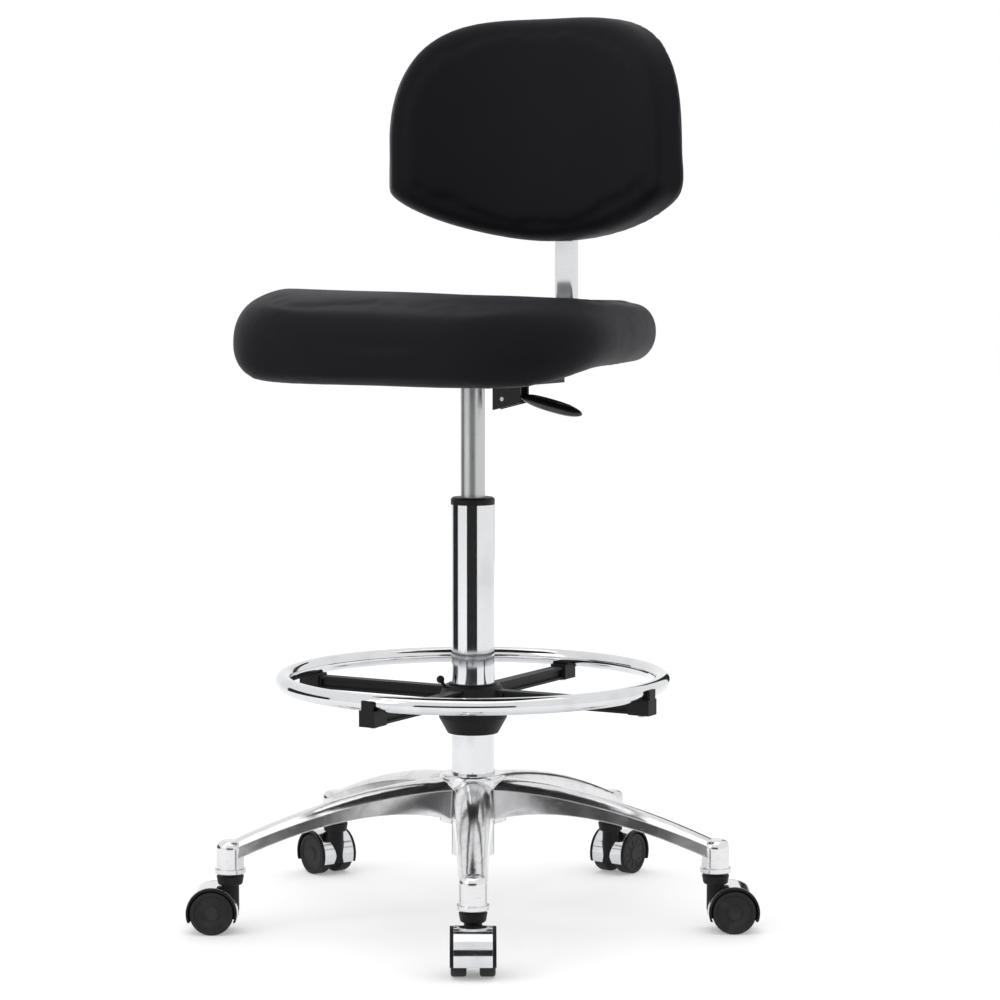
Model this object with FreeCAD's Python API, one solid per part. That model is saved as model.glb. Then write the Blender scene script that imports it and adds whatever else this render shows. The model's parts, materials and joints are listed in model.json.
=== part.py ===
"""Drafting chair: five-star base on twin-wheel casters, gas lift, foot ring, seat and back.

Millimetres. +Z is up, the floor is z = 0, the column stands on the Z axis and the chair
faces -Y, so +X is the sitter's left. One STEP file is written per sub-part.
"""
import FreeCAD, Part
import math
import os
from FreeCAD import Vector

os.makedirs("parts", exist_ok=True)

# ---------------------------------------------------------------- clearances
PRESS = 0.02  # radial gap of a pressed or tapered fit
RUNNING = 0.05  # radial gap of a shaft that turns or slides in its hole
SLIDING = 0.08  # radial gap of the sliding foot-ring sleeve
SOFT_GAP = 0.4  # gap between padding and the board or cover beside it
FACE_GAP = 0.3  # gap between faces of two pieces that move past each other
OVERCUT = 5.0  # how far a cutting tool runs past the face it opens
OVERLAP = 1.0  # how far joined blocks run into each other
LEAST_FLAT = 0.05  # share of a side that stays flat between two roundings

# ---------------------------------------------------------------- base
STAR_ARMS = 5
FIRST_ARM_ANGLE = -60.0
BASE_RADIUS = 289.0  # column axis to caster stem axis
HUB_WALL = 14.0
HUB_HEIGHT = 55.0
HUB_ABOVE_ARMS = 4.0
HUB_EDGE_ROUND = 6.0
ARM_SECTIONS = 6
ARM_START = 24.0
ARM_RISE = 60.0
ARM_BELOW_BOSS_TOP = 2.0
ARM_DROP_POWER = 1.8
ARM_ROOT_WIDTH = 52.0
ARM_TIP_WIDTH = 29.0
ARM_ROOT_DEPTH = 48.0
ARM_TIP_DEPTH = 20.0
ARM_DEPTH_POWER = 3
ARM_SHOULDER = 0.45  # height of the arched top, as a share of the half width
ARM_FLANK = 0.93  # width at the shoulders, as a share of the width below
ARM_WALL = 4.0
ARM_HOLLOW_FROM = 50.0
ARM_HOLLOW_SHORT_OF_STEM = 24.0
ARM_RIBS = 4
RIB_THICKNESS = 3.0
BOSS_RADIUS = 15.5
BOSS_HEIGHT = 37.0
BOSS_ROUND = 9.0
BOSS_RING_RADIUS = 17.5
BOSS_RING_HEIGHT = 5.0

# ---------------------------------------------------------------- casters
TRAIL_ANGLES = (-60.0, 30.0, 84.0, 156.0, 210.0)  # way each caster trails at rest
WHEEL_RADIUS = 25.0
WHEEL_WIDTH = 17.0
WHEEL_EDGE_ROUND = 2.5
WHEEL_DISH = 1.6
WHEEL_RIM_WIDTH = 4.5
WHEEL_HUB_RADIUS = 8.0
WHEEL_CAP = 2.0
AXLE_RADIUS = 3.0
TRAIL = 20.0
WEB_WIDTH = 12.0
WHEEL_SIDE_GAP = 1.0
HOOD_GAP = 1.3
HOOD_WALL = 2.4
HOOD_RIM_WIDTH = 4.0
HOOD_OVERHANG = 0.8
HOOD_LOW = 15.0
PLATE_THICKNESS = 1.4
PLATE_SINK = 0.9
NECK_RADIUS = 10.0
NECK_ABOVE_HOOD = 14.3  # gap from the hood to the stem boss
STEM_RADIUS = 5.5
STEM_LENGTH = 23.0
SWIVEL_RADIUS = 4.0
SWIVEL_LENGTH = 20.0
STEM_FLANGE_RADIUS = 8.0
STEM_FLANGE = 2.0

# ---------------------------------------------------------------- column and gas lift
TUBE_RADIUS = 25.0
TUBE_WALL = 1.8
TUBE_BELOW_HUB = 40.0
TUBE_TOP = 478.5
TUBE_FLOOR = 3.0
COLLAR_HEIGHT = 8.2
COLLAR_LIP = 0.4
COLLAR_BEVEL = 2.0
BUSHING_LENGTH = 150.0
CYLINDER_RADIUS = 14.0
CYLINDER_WALL = 2.0
CYLINDER_LENGTH = 360.0
CYLINDER_TOP_BELOW_SEAT = 18.0
CYLINDER_GUIDE = 20.0
CYLINDER_HEAD = 14.0
ROD_RADIUS = 5.0
ROD_BELOW_TUBE = 6.0
PISTON_HEIGHT = 12.0
PISTON_BELOW_TUBE_TOP = 50.5
BEARING_HEIGHT = 7.0
BEARING_RADIUS = 15.0
BUMP_HEIGHT = 30.0
BUMP_RADIUS = 12.0
CLIP_RADIUS = 9.0
CLIP_THICKNESS = 1.2
CLIP_GROOVE = 0.8
RELEASE_RADIUS = 3.0
RELEASE_ABOVE = 6.8
RELEASE_BELOW = 11.0

# ---------------------------------------------------------------- foot ring
RING_OUTER_RADIUS = 228.0
RING_TUBE_RADIUS = 9.5
RING_TUBE_WALL = 1.5
RING_HEIGHT = 275.7
SLEEVE_WALL = 2.5
SLEEVE_BELOW_RING = 61.7
SLEEVE_HEIGHT = 58.0
BOWL_LOW_WIDTH = 1.9
BOWL_WIDTH = 11.9
BOWL_CONE = 18.0
BOWL_HEIGHT = 30.0
SPIDER_TOP_BELOW_SLEEVE = 2.0
SPIDER_TOP_WIDTH = 3.9
SPIDER_LOW_WIDTH = 12.4
SPIDER_BEVEL = 2.0
SPOKES = 4
SPOKE_WIDTH = 15.0
SPOKE_DEPTH = 15.0
SPOKE_TOP_BELOW_RING = 9.7
SPOKE_POCKET = 3.5
SPOKE_FLANGE = 3.0
BLOCK_WIDTH = 20.0
BLOCK_DEPTH = 18.0
BLOCK_TOP_BELOW_RING = 7.2
BLOCK_LENGTH = 26.0
CLIP_TAB = 4.0
CLIP_TAB_WIDTH = 14.0
CLIP_TAB_RISE = 11.0
RING_SCREW_RADIUS = 2.0
RING_SCREW_HEAD_RADIUS = 4.0
RING_SCREW_HEAD = 2.5
RING_SCREW_LENGTH = 22.0
RING_KNOB_ANGLE = -135.0
RING_KNOB_TILT = 60.0
RING_KNOB_STEM_RADIUS = 2.2
RING_KNOB_BALL_RADIUS = 4.6
RING_KNOB_LENGTH = 17.0
RING_KNOB_TIP_GAP = 2.6
RING_KNOB_TIP_BELOW_RING = 13.7

# ---------------------------------------------------------------- seat mechanism
HOUSING_HALF_WIDTH = 55.0
HOUSING_FRONT = -60.0
HOUSING_REAR = 120.0
HOUSING_HEIGHT = 33.0
HOUSING_WALL = 3.0
FLANGE_HALF_WIDTH = 85.0
FLANGE_FRONT = -95.0
FLANGE_REAR = 125.0
SHELL_LOW = 648.0  # underside of the seat cover, where the mechanism bolts on
SOCKET_WALL = 6.0
SOCKET_TOP_BELOW_CYLINDER = 2.0
MECHANISM_BOLT_X = 70.0
MECHANISM_BOLT_FRONT = -78.0
MECHANISM_BOLT_REAR = 90.0
MECHANISM_BOLT_RADIUS = 3.0
MECHANISM_BOLT_HEAD_RADIUS = 6.0
MECHANISM_BOLT_HEAD = 4.0
MECHANISM_BOLT_LENGTH = 15.0
EAR_NEAR = 32.0
EAR_FAR = 68.0
EAR_DEPTH = 27.0
EAR_FAR_DEPTH = 18.0
EAR_GAP = 15.0
EAR_WALL = 3.0
LEVER_SLOT_GAP = 1.5
PIVOT_X = 44.0
PIVOT_BELOW_HOUSING = 14.0
PIVOT_RADIUS = 2.5

# ---------------------------------------------------------------- height lever
LEVER_ROD_RADIUS = 3.0
LEVER_INNER_X = -7.0
LEVER_KNEE_X = 26.0
LEVER_OUT_X = 64.0
LEVER_OUT_ABOVE_PIVOT = 3.0
PADDLE_LENGTH = 80.0
PADDLE_WIDTH = 26.0
PADDLE_THICKNESS = 12.0
PADDLE_CROWN = 1.3  # height of the oval before its top and bottom are flattened, over thickness
PADDLE_DROOP = 13.5
PADDLE_GRIP = 34.0
PADDLE_DISH_ALONG = 0.54
PADDLE_DISH_LENGTH = 44.0
PADDLE_DISH_WIDTH = 15.0
PADDLE_DISH_DEPTH = 1.6

# ---------------------------------------------------------------- seat
SEAT_FRONT = -222.0
SEAT_REAR = 181.0
SEAT_FRONT_HALF_WIDTH = 259.0
SEAT_REAR_HALF_WIDTH = 181.0
SEAT_CORNER_POWER = 3.35
SEAT_EDGE_POWER = 4.6
SEAT_THICKNESS = 63.0
SEAT_LIP = 7.0
SEAT_FRONT_RISE = 10.0
SEAT_CREST_LEAN = 5.0  # the crest is this much higher at the sitter's right end, lower at the left
SEAT_FRONT_DROOP = 40.0
SEAT_DROOP_LENGTH = 125.0
SEAT_DROOP_POWER = 1.6
SEAT_CREST_BACK = 105.0  # front edge to the highest line of the padding
SEAT_CREST_SPREAD = 140.0
SEAT_TOP_ROUND = 36.0
SEAT_NOSE_ROUND = 28.0  # added to the top rounding at the crest
SEAT_LOW_ROUND = 40.0
SEAT_STATIONS = (0.1, 0.45, 0.7, 0.88, 0.97, 0.997)  # section places, as shares of the half depth
SEAT_SHELL_WALL = 4.0
SEAT_SHELL_INSET = 30.0
SEAT_BOARD_INSET = 40.0
SEAT_BOARD_THICKNESS = 11.0

# ---------------------------------------------------------------- back bar
BAR_WIDTH = 28.0
BAR_THICKNESS = 14.0
BAR_CORNER = 5.0
BAR_WALL = 2.5
BAR_BEND = 40.0
BAR_BELOW_SEAT = 21.0
BAR_UPRIGHT_Y = 226.0
BAR_FRONT = 38.0
BAR_ABOVE_BRACKET = 16.0
BAR_GUIDE_WALL = 4.0
BAR_GUIDE_FRONT = 24.0
KNOB_STEM_RADIUS = 3.0
DEPTH_KNOB_Y = 98.0
DEPTH_KNOB_RADIUS = 12.0
DEPTH_KNOB_HEIGHT = 20.0
HEIGHT_KNOB_RADIUS = 15.0
HEIGHT_KNOB_DEPTH = 20.0
KNOB_LOBES = 6
KNOB_LOBE_RADIUS = 3.5
KNOB_LOBE_OUTSIDE = 1.0  # how far outside the knob's edge the hollows are centred
KNOB_LOBE_SHARE = 0.8

# ---------------------------------------------------------------- back
BACK_ABOVE_SEAT = 67.0
BACK_HEIGHT = 266.0
BACK_WIDEST_UP = 64.0
BACK_HALF_WIDTH = 200.0
BACK_UPPER_POWER = 3.6
BACK_LOWER_POWER = 1.7
BACK_CURVE_RADIUS = 339.0  # outside of the back cover, about a vertical axis
BACK_REAR_Y = 210.0
BACK_PAD_THICKNESS = 50.0
BACK_EDGE_POWER = 5.0
BACK_RIM_SHARE = 0.35  # thickness of the padding at its rim, over its full thickness
BACK_FRONT_ROUND = 20.0
BACK_REAR_ROUND = 6.0
BACK_FRONT_ROUND_SHARE = 0.45  # largest rounding as a share of the local thickness
BACK_REAR_ROUND_SHARE = 0.2
BACK_STATIONS = (0.4, 0.7, 0.87, 0.96, 0.995)  # section places, as shares of the half width
BACK_COVER_WALL = 3.5
BACK_COVER_INSET = 8.0
BACK_BOARD_THICKNESS = 9.0
BACK_BOARD_INSET = 20.0
BRACKET_HALF_WIDTH = 42.0
BRACKET_UP = 35.0
BRACKET_HEIGHT = 104.0
BRACKET_PLATE = 4.0
BRACKET_SLEEVE_HEIGHT = 72.0
BRACKET_SLEEVE_WALL = 5.0
BACK_BOLT_X = 29.0
BACK_BOLT_RADIUS = 2.5
BACK_BOLT_HEAD_RADIUS = 5.0
BACK_BOLT_HEAD = 3.0
BACK_BOLT_LENGTH = 13.0
BACK_BOLT_EDGE = 12.0

# ---------------------------------------------------------------- sizes that follow
ROUND_MIDDLE = 1 - math.sqrt(0.5)  # inset of the middle of a quarter round, over its radius
Z_AXIS = Vector(0, 0, 1)
X_AXIS = Vector(1, 0, 0)
Y_AXIS = Vector(0, 1, 0)
RING_CENTRE_RADIUS = RING_OUTER_RADIUS - RING_TUBE_RADIUS
SLEEVE_BORE = TUBE_RADIUS + SLIDING
SLEEVE_RADIUS = SLEEVE_BORE + SLEEVE_WALL
SLEEVE_LOW = RING_HEIGHT - SLEEVE_BELOW_RING
SLEEVE_TOP = SLEEVE_LOW + SLEEVE_HEIGHT
BOWL_LOW_RADIUS = SLEEVE_RADIUS + BOWL_LOW_WIDTH
BOWL_RADIUS = SLEEVE_RADIUS + BOWL_WIDTH
SPIDER_TOP = SLEEVE_TOP - SPIDER_TOP_BELOW_SLEEVE
SPIDER_TOP_RADIUS = SLEEVE_RADIUS + SPIDER_TOP_WIDTH
SPIDER_LOW_RADIUS = SLEEVE_RADIUS + SPIDER_LOW_WIDTH
SPOKE_TOP = RING_HEIGHT - SPOKE_TOP_BELOW_RING
BLOCK_TOP = RING_HEIGHT - BLOCK_TOP_BELOW_RING
RING_KNOB_TIP_RADIUS = SLEEVE_RADIUS + RING_KNOB_TIP_GAP
RING_KNOB_TIP_HEIGHT = RING_HEIGHT - RING_KNOB_TIP_BELOW_RING
HOUSING_LOW = SHELL_LOW - HOUSING_HEIGHT
FLANGE_LOW = SHELL_LOW - HOUSING_WALL
CYLINDER_TOP = SHELL_LOW - CYLINDER_TOP_BELOW_SEAT
CYLINDER_LOW = CYLINDER_TOP - CYLINDER_LENGTH
SOCKET_TOP = CYLINDER_TOP - SOCKET_TOP_BELOW_CYLINDER
PISTON_LOW = TUBE_TOP - PISTON_BELOW_TUBE_TOP
EAR_LOW = HOUSING_LOW - EAR_DEPTH
EAR_FAR_LOW = HOUSING_LOW - EAR_FAR_DEPTH
PIVOT_Z = HOUSING_LOW - PIVOT_BELOW_HOUSING
LEVER_OUT_Z = PIVOT_Z + LEVER_OUT_ABOVE_PIVOT
LEVER_LEVEL = CYLINDER_TOP + RELEASE_ABOVE + LEVER_ROD_RADIUS + FACE_GAP
BOARD_LOW = SHELL_LOW + SEAT_SHELL_WALL
SEAT_TOP = SHELL_LOW + SEAT_THICKNESS
BAR_LEVEL = SHELL_LOW - BAR_BELOW_SEAT
BACK_LOW = SEAT_TOP + BACK_ABOVE_SEAT
BACK_TOP = BACK_LOW + BACK_HEIGHT
BACK_WIDEST = BACK_LOW + BACK_WIDEST_UP
BRACKET_LOW = BACK_LOW + BRACKET_UP
BRACKET_HIGH = BRACKET_LOW + BRACKET_HEIGHT
BRACKET_MIDDLE = (BRACKET_LOW + BRACKET_HIGH) / 2
BRACKET_SLEEVE_LOW = BRACKET_MIDDLE - BRACKET_SLEEVE_HEIGHT / 2
BRACKET_SLEEVE_HIGH = BRACKET_MIDDLE + BRACKET_SLEEVE_HEIGHT / 2
BAR_TOP = BRACKET_HIGH + BAR_ABOVE_BRACKET
BACK_CENTRE_Y = BACK_REAR_Y - BACK_CURVE_RADIUS
PAD_REAR_RADIUS = BACK_CURVE_RADIUS - BACK_COVER_WALL - SOFT_GAP
BAR_REAR_FACE = BAR_UPRIGHT_Y + BAR_THICKNESS / 2
BRACKET_FRONT = BACK_REAR_Y + FACE_GAP
WEB_HALF = WEB_WIDTH / 2
WHEEL_IN = WEB_HALF + WHEEL_SIDE_GAP
WHEEL_OUT = WHEEL_IN + WHEEL_WIDTH
HOOD_BORE = WHEEL_RADIUS + HOOD_GAP
HOOD_RADIUS = HOOD_BORE + HOOD_WALL
HOOD_HALF = WHEEL_OUT + HOOD_OVERHANG
BOSS_LOW = WHEEL_RADIUS + HOOD_RADIUS + NECK_ABOVE_HOOD
BOSS_TOP = BOSS_LOW + BOSS_HEIGHT
NECK_TOP = BOSS_LOW - STEM_FLANGE - FACE_GAP
ARM_TIP_CREST = BOSS_TOP - ARM_BELOW_BOSS_TOP
ARM_CREST = ARM_TIP_CREST + ARM_RISE
HUB_RADIUS = TUBE_RADIUS + HUB_WALL
HUB_TOP = ARM_CREST + HUB_ABOVE_ARMS
HUB_LOW = HUB_TOP - HUB_HEIGHT
TUBE_LOW = HUB_LOW - TUBE_BELOW_HUB


# ---------------------------------------------------------------- shape helpers
def rod(radius, start, end):
    """Round bar between two points."""
    way = end.sub(start)
    return Part.makeCylinder(radius, way.Length, start, way)


def upright(radius, low, high, x=0.0, y=0.0):
    """Round bar standing on the plane z = low."""
    return rod(radius, Vector(x, y, low), Vector(x, y, high))


def block(x_low, x_high, y_low, y_high, z_low, z_high):
    """Rectangular block between two corners."""
    corner = Vector(x_low, y_low, z_low)
    return Part.makeBox(x_high - x_low, y_high - y_low, z_high - z_low, corner)


def sleeve(bore, radius, low, high):
    """Plain ring about the Z axis."""
    return upright(radius, low, high).cut(upright(bore, low - OVERCUT, high + OVERCUT))


def turned(profile, origin=Vector(0, 0, 0), axis=Z_AXIS):
    """Solid of revolution of an (x, z) profile about an axis."""
    points = [Vector(x, 0, z) for x, z in profile]
    points.append(points[0])
    face = Part.Face(Part.makePolygon(points))
    return face.revolve(origin, axis, 360)


def spun(shape, angle):
    """Copy of a shape turned about the column axis."""
    copy = shape.copy()
    copy.rotate(Vector(0, 0, 0), Z_AXIS, angle)
    return copy


def spline_prism(points, way):
    """Prism of a closed smooth outline through the points."""
    curve = Part.BSplineCurve()
    curve.interpolate(Points=points, PeriodicFlag=True)
    return Part.Face(Part.Wire(curve.toShape())).extrude(way)


def both_ways(stations):
    """Shares either side of the middle, in order, with the middle itself."""
    return [-share for share in reversed(stations)] + [0.0] + list(stations)


def soft_section(place, near, far, low, high, near_round, far_round):
    """Rounded rectangle; place maps (across, height) to a point, near and far are its sides."""
    tall = (high - low) / 2 * (1 - LEAST_FLAT)
    room = min(1.0, (far - near) * (1 - LEAST_FLAT) / (near_round + far_round))
    a = min(near_round * room, tall)
    b = min(far_round * room, tall)
    s = ROUND_MIDDLE
    lines = (
        ((near + a, low), (far - b, low)),
        ((far, low + b), (far, high - b)),
        ((far - b, high), (near + a, high)),
        ((near, high - a), (near, low + a)),
    )
    bends = (
        (far - b * s, low + b * s),
        (far - b * s, high - b * s),
        (near + a * s, high - a * s),
        (near + a * s, low + a * s),
    )
    edges = []
    for index, (start, end) in enumerate(lines):
        following = lines[(index + 1) % len(lines)][0]
        edges.append(Part.makeLine(place(*start), place(*end)))
        arc = Part.Arc(place(*end), place(*bends[index]), place(*following))
        edges.append(arc.toShape())
    return Part.Wire(edges)


def fall_off(fraction, power):
    """Share of full size left at a fraction of the way to a rounded end."""
    return max(0.0, 1 - abs(fraction) ** power) ** (1 / power)


# ---------------------------------------------------------------- base
def arm_place(x):
    """Section plane of an arm at a distance from the column axis."""
    return lambda across, height: Vector(x, across, height)


def arm_solid(start, end, wall, sink):
    """Arched arm along +X, made thinner by wall and lowered by sink at its underside."""
    reach = BASE_RADIUS - ARM_START
    sections = []
    for step in range(ARM_SECTIONS):
        x = start + (end - start) * step / (ARM_SECTIONS - 1)
        u = (x - ARM_START) / reach
        crest = ARM_CREST - (ARM_CREST - ARM_TIP_CREST) * u ** ARM_DROP_POWER - wall
        depth = ARM_TIP_DEPTH + (ARM_ROOT_DEPTH - ARM_TIP_DEPTH) * (1 - u) ** ARM_DEPTH_POWER
        half = (ARM_ROOT_WIDTH + (ARM_TIP_WIDTH - ARM_ROOT_WIDTH) * u) / 2 - wall
        low = crest + wall - depth - sink
        shoulder = crest - half * ARM_SHOULDER
        flank = half * ARM_FLANK
        left = Vector(x, -half, low)
        right = Vector(x, half, low)
        left_top = Vector(x, -flank, shoulder)
        right_top = Vector(x, flank, shoulder)
        arch = Part.Arc(right_top, Vector(x, 0, crest), left_top)
        edges = [
            Part.makeLine(left, right),
            Part.makeLine(right, right_top),
            arch.toShape(),
            Part.makeLine(left_top, left),
        ]
        sections.append(Part.Wire(edges))
    return Part.makeLoft(sections, True)


def star_arm():
    """One hollow arm with cross ribs and the boss that holds a caster stem."""
    hollow_to = BASE_RADIUS - ARM_HOLLOW_SHORT_OF_STEM
    full = arm_solid(ARM_START, BASE_RADIUS, 0.0, 0.0)
    arm = full.cut(arm_solid(ARM_HOLLOW_FROM, hollow_to, ARM_WALL, OVERCUT))
    spacing = (hollow_to - ARM_HOLLOW_FROM) / (ARM_RIBS + 1)
    for index in range(ARM_RIBS):
        x = ARM_HOLLOW_FROM + spacing * (index + 1)
        slice_box = block(x, x + RIB_THICKNESS, -HUB_RADIUS, HUB_RADIUS, BOSS_LOW, ARM_CREST)
        arm = arm.fuse(full.common(slice_box))
    boss = upright(BOSS_RADIUS, BOSS_LOW, BOSS_TOP, BASE_RADIUS)
    top_edges = [edge for edge in boss.Edges if edge.BoundBox.ZMin > BOSS_TOP - 1]
    boss = boss.makeFillet(BOSS_ROUND, top_edges)
    ring = upright(BOSS_RING_RADIUS, BOSS_LOW, BOSS_LOW + BOSS_RING_HEIGHT, BASE_RADIUS)
    arm = arm.fuse([boss, ring])
    socket = upright(STEM_RADIUS + PRESS, BOSS_LOW - OVERCUT, BOSS_LOW + STEM_LENGTH, BASE_RADIUS)
    return arm.cut(socket)


def base_star():
    """Hub and five arms, with the bore that the column sits in."""
    hub = upright(HUB_RADIUS, HUB_LOW, HUB_TOP)
    top_edges = [edge for edge in hub.Edges if edge.BoundBox.ZMin > HUB_TOP - 1]
    hub = hub.makeFillet(HUB_EDGE_ROUND, top_edges)
    arm = star_arm()
    arms = [spun(arm, FIRST_ARM_ANGLE + index * 360 / STAR_ARMS) for index in range(STAR_ARMS)]
    star = hub.fuse(arms)
    bore = upright(TUBE_RADIUS + PRESS, HUB_LOW - ARM_ROOT_DEPTH, ARM_CREST + ARM_ROOT_DEPTH)
    return star.cut(bore).removeSplitter()


# ---------------------------------------------------------------- casters
def caster_place(shape, index):
    """Move a caster piece from its own frame to its stem, trailing its own way."""
    arm_angle = math.radians(FIRST_ARM_ANGLE + index * 360 / STAR_ARMS)
    moved = spun(shape, TRAIL_ANGLES[index])
    moved.translate(Vector(BASE_RADIUS * math.cos(arm_angle), BASE_RADIUS * math.sin(arm_angle), 0))
    return moved


def across_wheel(radius, near, far):
    """Round bar along the caster's axle line, between two distances from its middle."""
    return rod(radius, Vector(TRAIL, near, WHEEL_RADIUS), Vector(TRAIL, far, WHEEL_RADIUS))


def hood_band(inner, outer, half_width):
    """Part of a band over the wheels that stays above the hood's lower edge."""
    band = across_wheel(outer, -half_width, half_width)
    if inner > 0:
        band = band.cut(across_wheel(inner, -half_width - OVERCUT, half_width + OVERCUT))
    reach = TRAIL + outer + OVERCUT
    return band.common(block(-reach, reach, -reach, reach, HOOD_LOW, 2 * reach))


def caster_stem():
    """Stem pressed into the base, with the pin the caster swivels on."""
    stem = upright(STEM_RADIUS, BOSS_LOW, BOSS_LOW + STEM_LENGTH - FACE_GAP)
    flange = upright(STEM_FLANGE_RADIUS, BOSS_LOW - STEM_FLANGE, BOSS_LOW)
    pin = upright(SWIVEL_RADIUS, NECK_TOP - SWIVEL_LENGTH, BOSS_LOW)
    return stem.fuse([flange, pin]).removeSplitter()


def caster_body():
    """Neck, centre web and hood over both wheels."""
    shell = hood_band(0, HOOD_RADIUS, HOOD_HALF)
    shell = shell.fuse(upright(NECK_RADIUS, WHEEL_RADIUS, NECK_TOP))
    for side in (-1, 1):
        cavity = across_wheel(HOOD_BORE, side * WEB_HALF, side * (HOOD_HALF + OVERCUT))
        shell = shell.cut(cavity)
    groove_half = HOOD_HALF - HOOD_RIM_WIDTH
    groove = hood_band(HOOD_RADIUS - PLATE_SINK, HOOD_RADIUS + OVERCUT, groove_half)
    groove = groove.cut(upright(NECK_RADIUS, 0, NECK_TOP))
    shell = shell.cut(groove)
    swivel = upright(SWIVEL_RADIUS + RUNNING, NECK_TOP - SWIVEL_LENGTH - FACE_GAP, NECK_TOP + OVERCUT)
    axle_hole = across_wheel(AXLE_RADIUS + PRESS, -WEB_WIDTH, WEB_WIDTH)
    return shell.cut(swivel.fuse(axle_hole)).removeSplitter()


def caster_hood():
    """Bright plate set into the crown of the hood."""
    low = HOOD_RADIUS - PLATE_SINK + PRESS
    plate = hood_band(low, low + PLATE_THICKNESS, HOOD_HALF - HOOD_RIM_WIDTH - PRESS)
    return plate.cut(upright(NECK_RADIUS + FACE_GAP, 0, NECK_TOP))


def caster_axle():
    """Axle through the web, carrying a wheel on each end."""
    half = WHEEL_OUT - WHEEL_CAP - FACE_GAP
    return across_wheel(AXLE_RADIUS, -half, half)


def caster_wheel(side):
    """Twin wheel half: dished outer face, closed cap, bore for the axle."""
    e = WHEEL_EDGE_ROUND
    m = WHEEL_EDGE_ROUND * ROUND_MIDDLE
    r = WHEEL_RADIUS
    bore = AXLE_RADIUS + RUNNING
    dish_out = r - WHEEL_RIM_WIDTH
    profile = (
        (bore, WHEEL_IN), (r - e, WHEEL_IN), (r - m, WHEEL_IN + m), (r, WHEEL_IN + e),
        (r, WHEEL_OUT - e), (r - m, WHEEL_OUT - m), (r - e, WHEEL_OUT),
        (dish_out, WHEEL_OUT), (dish_out - WHEEL_DISH, WHEEL_OUT - WHEEL_DISH),
        (WHEEL_HUB_RADIUS + WHEEL_DISH, WHEEL_OUT - WHEEL_DISH), (WHEEL_HUB_RADIUS, WHEEL_OUT),
        (0, WHEEL_OUT), (0, WHEEL_OUT - WHEEL_CAP), (bore, WHEEL_OUT - WHEEL_CAP),
    )
    wheel = turned(profile)
    wheel.rotate(Vector(0, 0, 0), X_AXIS, -90 * side)
    wheel.translate(Vector(TRAIL, 0, WHEEL_RADIUS))
    return wheel


# ---------------------------------------------------------------- column and gas lift
def column_tube():
    """Outer column tube with a floor that carries the thrust bearing."""
    tube = upright(TUBE_RADIUS, TUBE_LOW, TUBE_TOP)
    hollow = upright(TUBE_RADIUS - TUBE_WALL, TUBE_LOW + TUBE_FLOOR, TUBE_TOP + OVERCUT)
    rod_hole = upright(ROD_RADIUS + RUNNING, TUBE_LOW - OVERCUT, TUBE_LOW + TUBE_FLOOR + OVERLAP)
    return tube.cut(hollow.fuse(rod_hole))


def column_bushing():
    """Long plastic guide bush for the gas cylinder."""
    outer = TUBE_RADIUS - TUBE_WALL - PRESS
    return sleeve(CYLINDER_RADIUS + RUNNING, outer, TUBE_TOP - BUSHING_LENGTH, TUBE_TOP)


def column_collar():
    """Black trim ring on the mouth of the column."""
    low = TUBE_TOP
    high = TUBE_TOP + COLLAR_HEIGHT
    bore = CYLINDER_RADIUS + FACE_GAP
    outer = TUBE_RADIUS + COLLAR_LIP
    profile = (
        (bore, low), (outer, low), (outer, high - COLLAR_BEVEL), (outer - COLLAR_BEVEL, high),
        (bore, high),
    )
    return turned(profile)


def thrust_bearing():
    """Bearing on the column floor that the rod and seat turn on."""
    low = TUBE_LOW + TUBE_FLOOR + FACE_GAP
    return sleeve(ROD_RADIUS + PRESS, BEARING_RADIUS, low, low + BEARING_HEIGHT)


def bump_stop():
    """Rubber ring that ends the downward stroke."""
    low = TUBE_LOW + TUBE_FLOOR + FACE_GAP + BEARING_HEIGHT
    return sleeve(ROD_RADIUS + PRESS, BUMP_RADIUS, low, low + BUMP_HEIGHT)


def clip_ring(bore, thickness):
    """Ring at the clip's place just under the column floor."""
    high = TUBE_LOW - FACE_GAP
    return sleeve(bore, CLIP_RADIUS, high - thickness, high)


def retaining_clip():
    """Open spring clip that keeps the rod in the column."""
    ring = clip_ring(ROD_RADIUS - CLIP_GROOVE + PRESS, CLIP_THICKNESS)
    return ring.cut(block(0, 2 * CLIP_RADIUS, -ROD_RADIUS / 2, ROD_RADIUS / 2, 0, TUBE_LOW))


def piston_rod():
    """Rod fixed to the column floor, with the piston on its upper end."""
    shaft = upright(ROD_RADIUS, TUBE_LOW - ROD_BELOW_TUBE, PISTON_LOW + PISTON_HEIGHT)
    shaft = shaft.cut(clip_ring(ROD_RADIUS - CLIP_GROOVE, CLIP_THICKNESS + 2 * PRESS))
    bore = CYLINDER_RADIUS - CYLINDER_WALL
    piston = upright(bore - RUNNING, PISTON_LOW, PISTON_LOW + PISTON_HEIGHT)
    return shaft.fuse(piston).removeSplitter()


def gas_cylinder():
    """Gas spring tube, closed round the rod below and round the release pin above."""
    tube = upright(CYLINDER_RADIUS, CYLINDER_LOW, CYLINDER_TOP)
    chamber_low = CYLINDER_LOW + CYLINDER_GUIDE
    chamber_high = CYLINDER_TOP - CYLINDER_HEAD
    chamber = upright(CYLINDER_RADIUS - CYLINDER_WALL, chamber_low, chamber_high)
    rod_hole = upright(ROD_RADIUS + RUNNING, CYLINDER_LOW - OVERCUT, chamber_low + OVERCUT)
    pin_hole = upright(RELEASE_RADIUS + RUNNING, chamber_high - OVERCUT, CYLINDER_TOP + OVERCUT)
    return tube.cut(chamber.fuse([rod_hole, pin_hole]))


def release_pin():
    """Valve pin that the lever presses."""
    return upright(RELEASE_RADIUS, CYLINDER_TOP - RELEASE_BELOW, CYLINDER_TOP + RELEASE_ABOVE)


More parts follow.
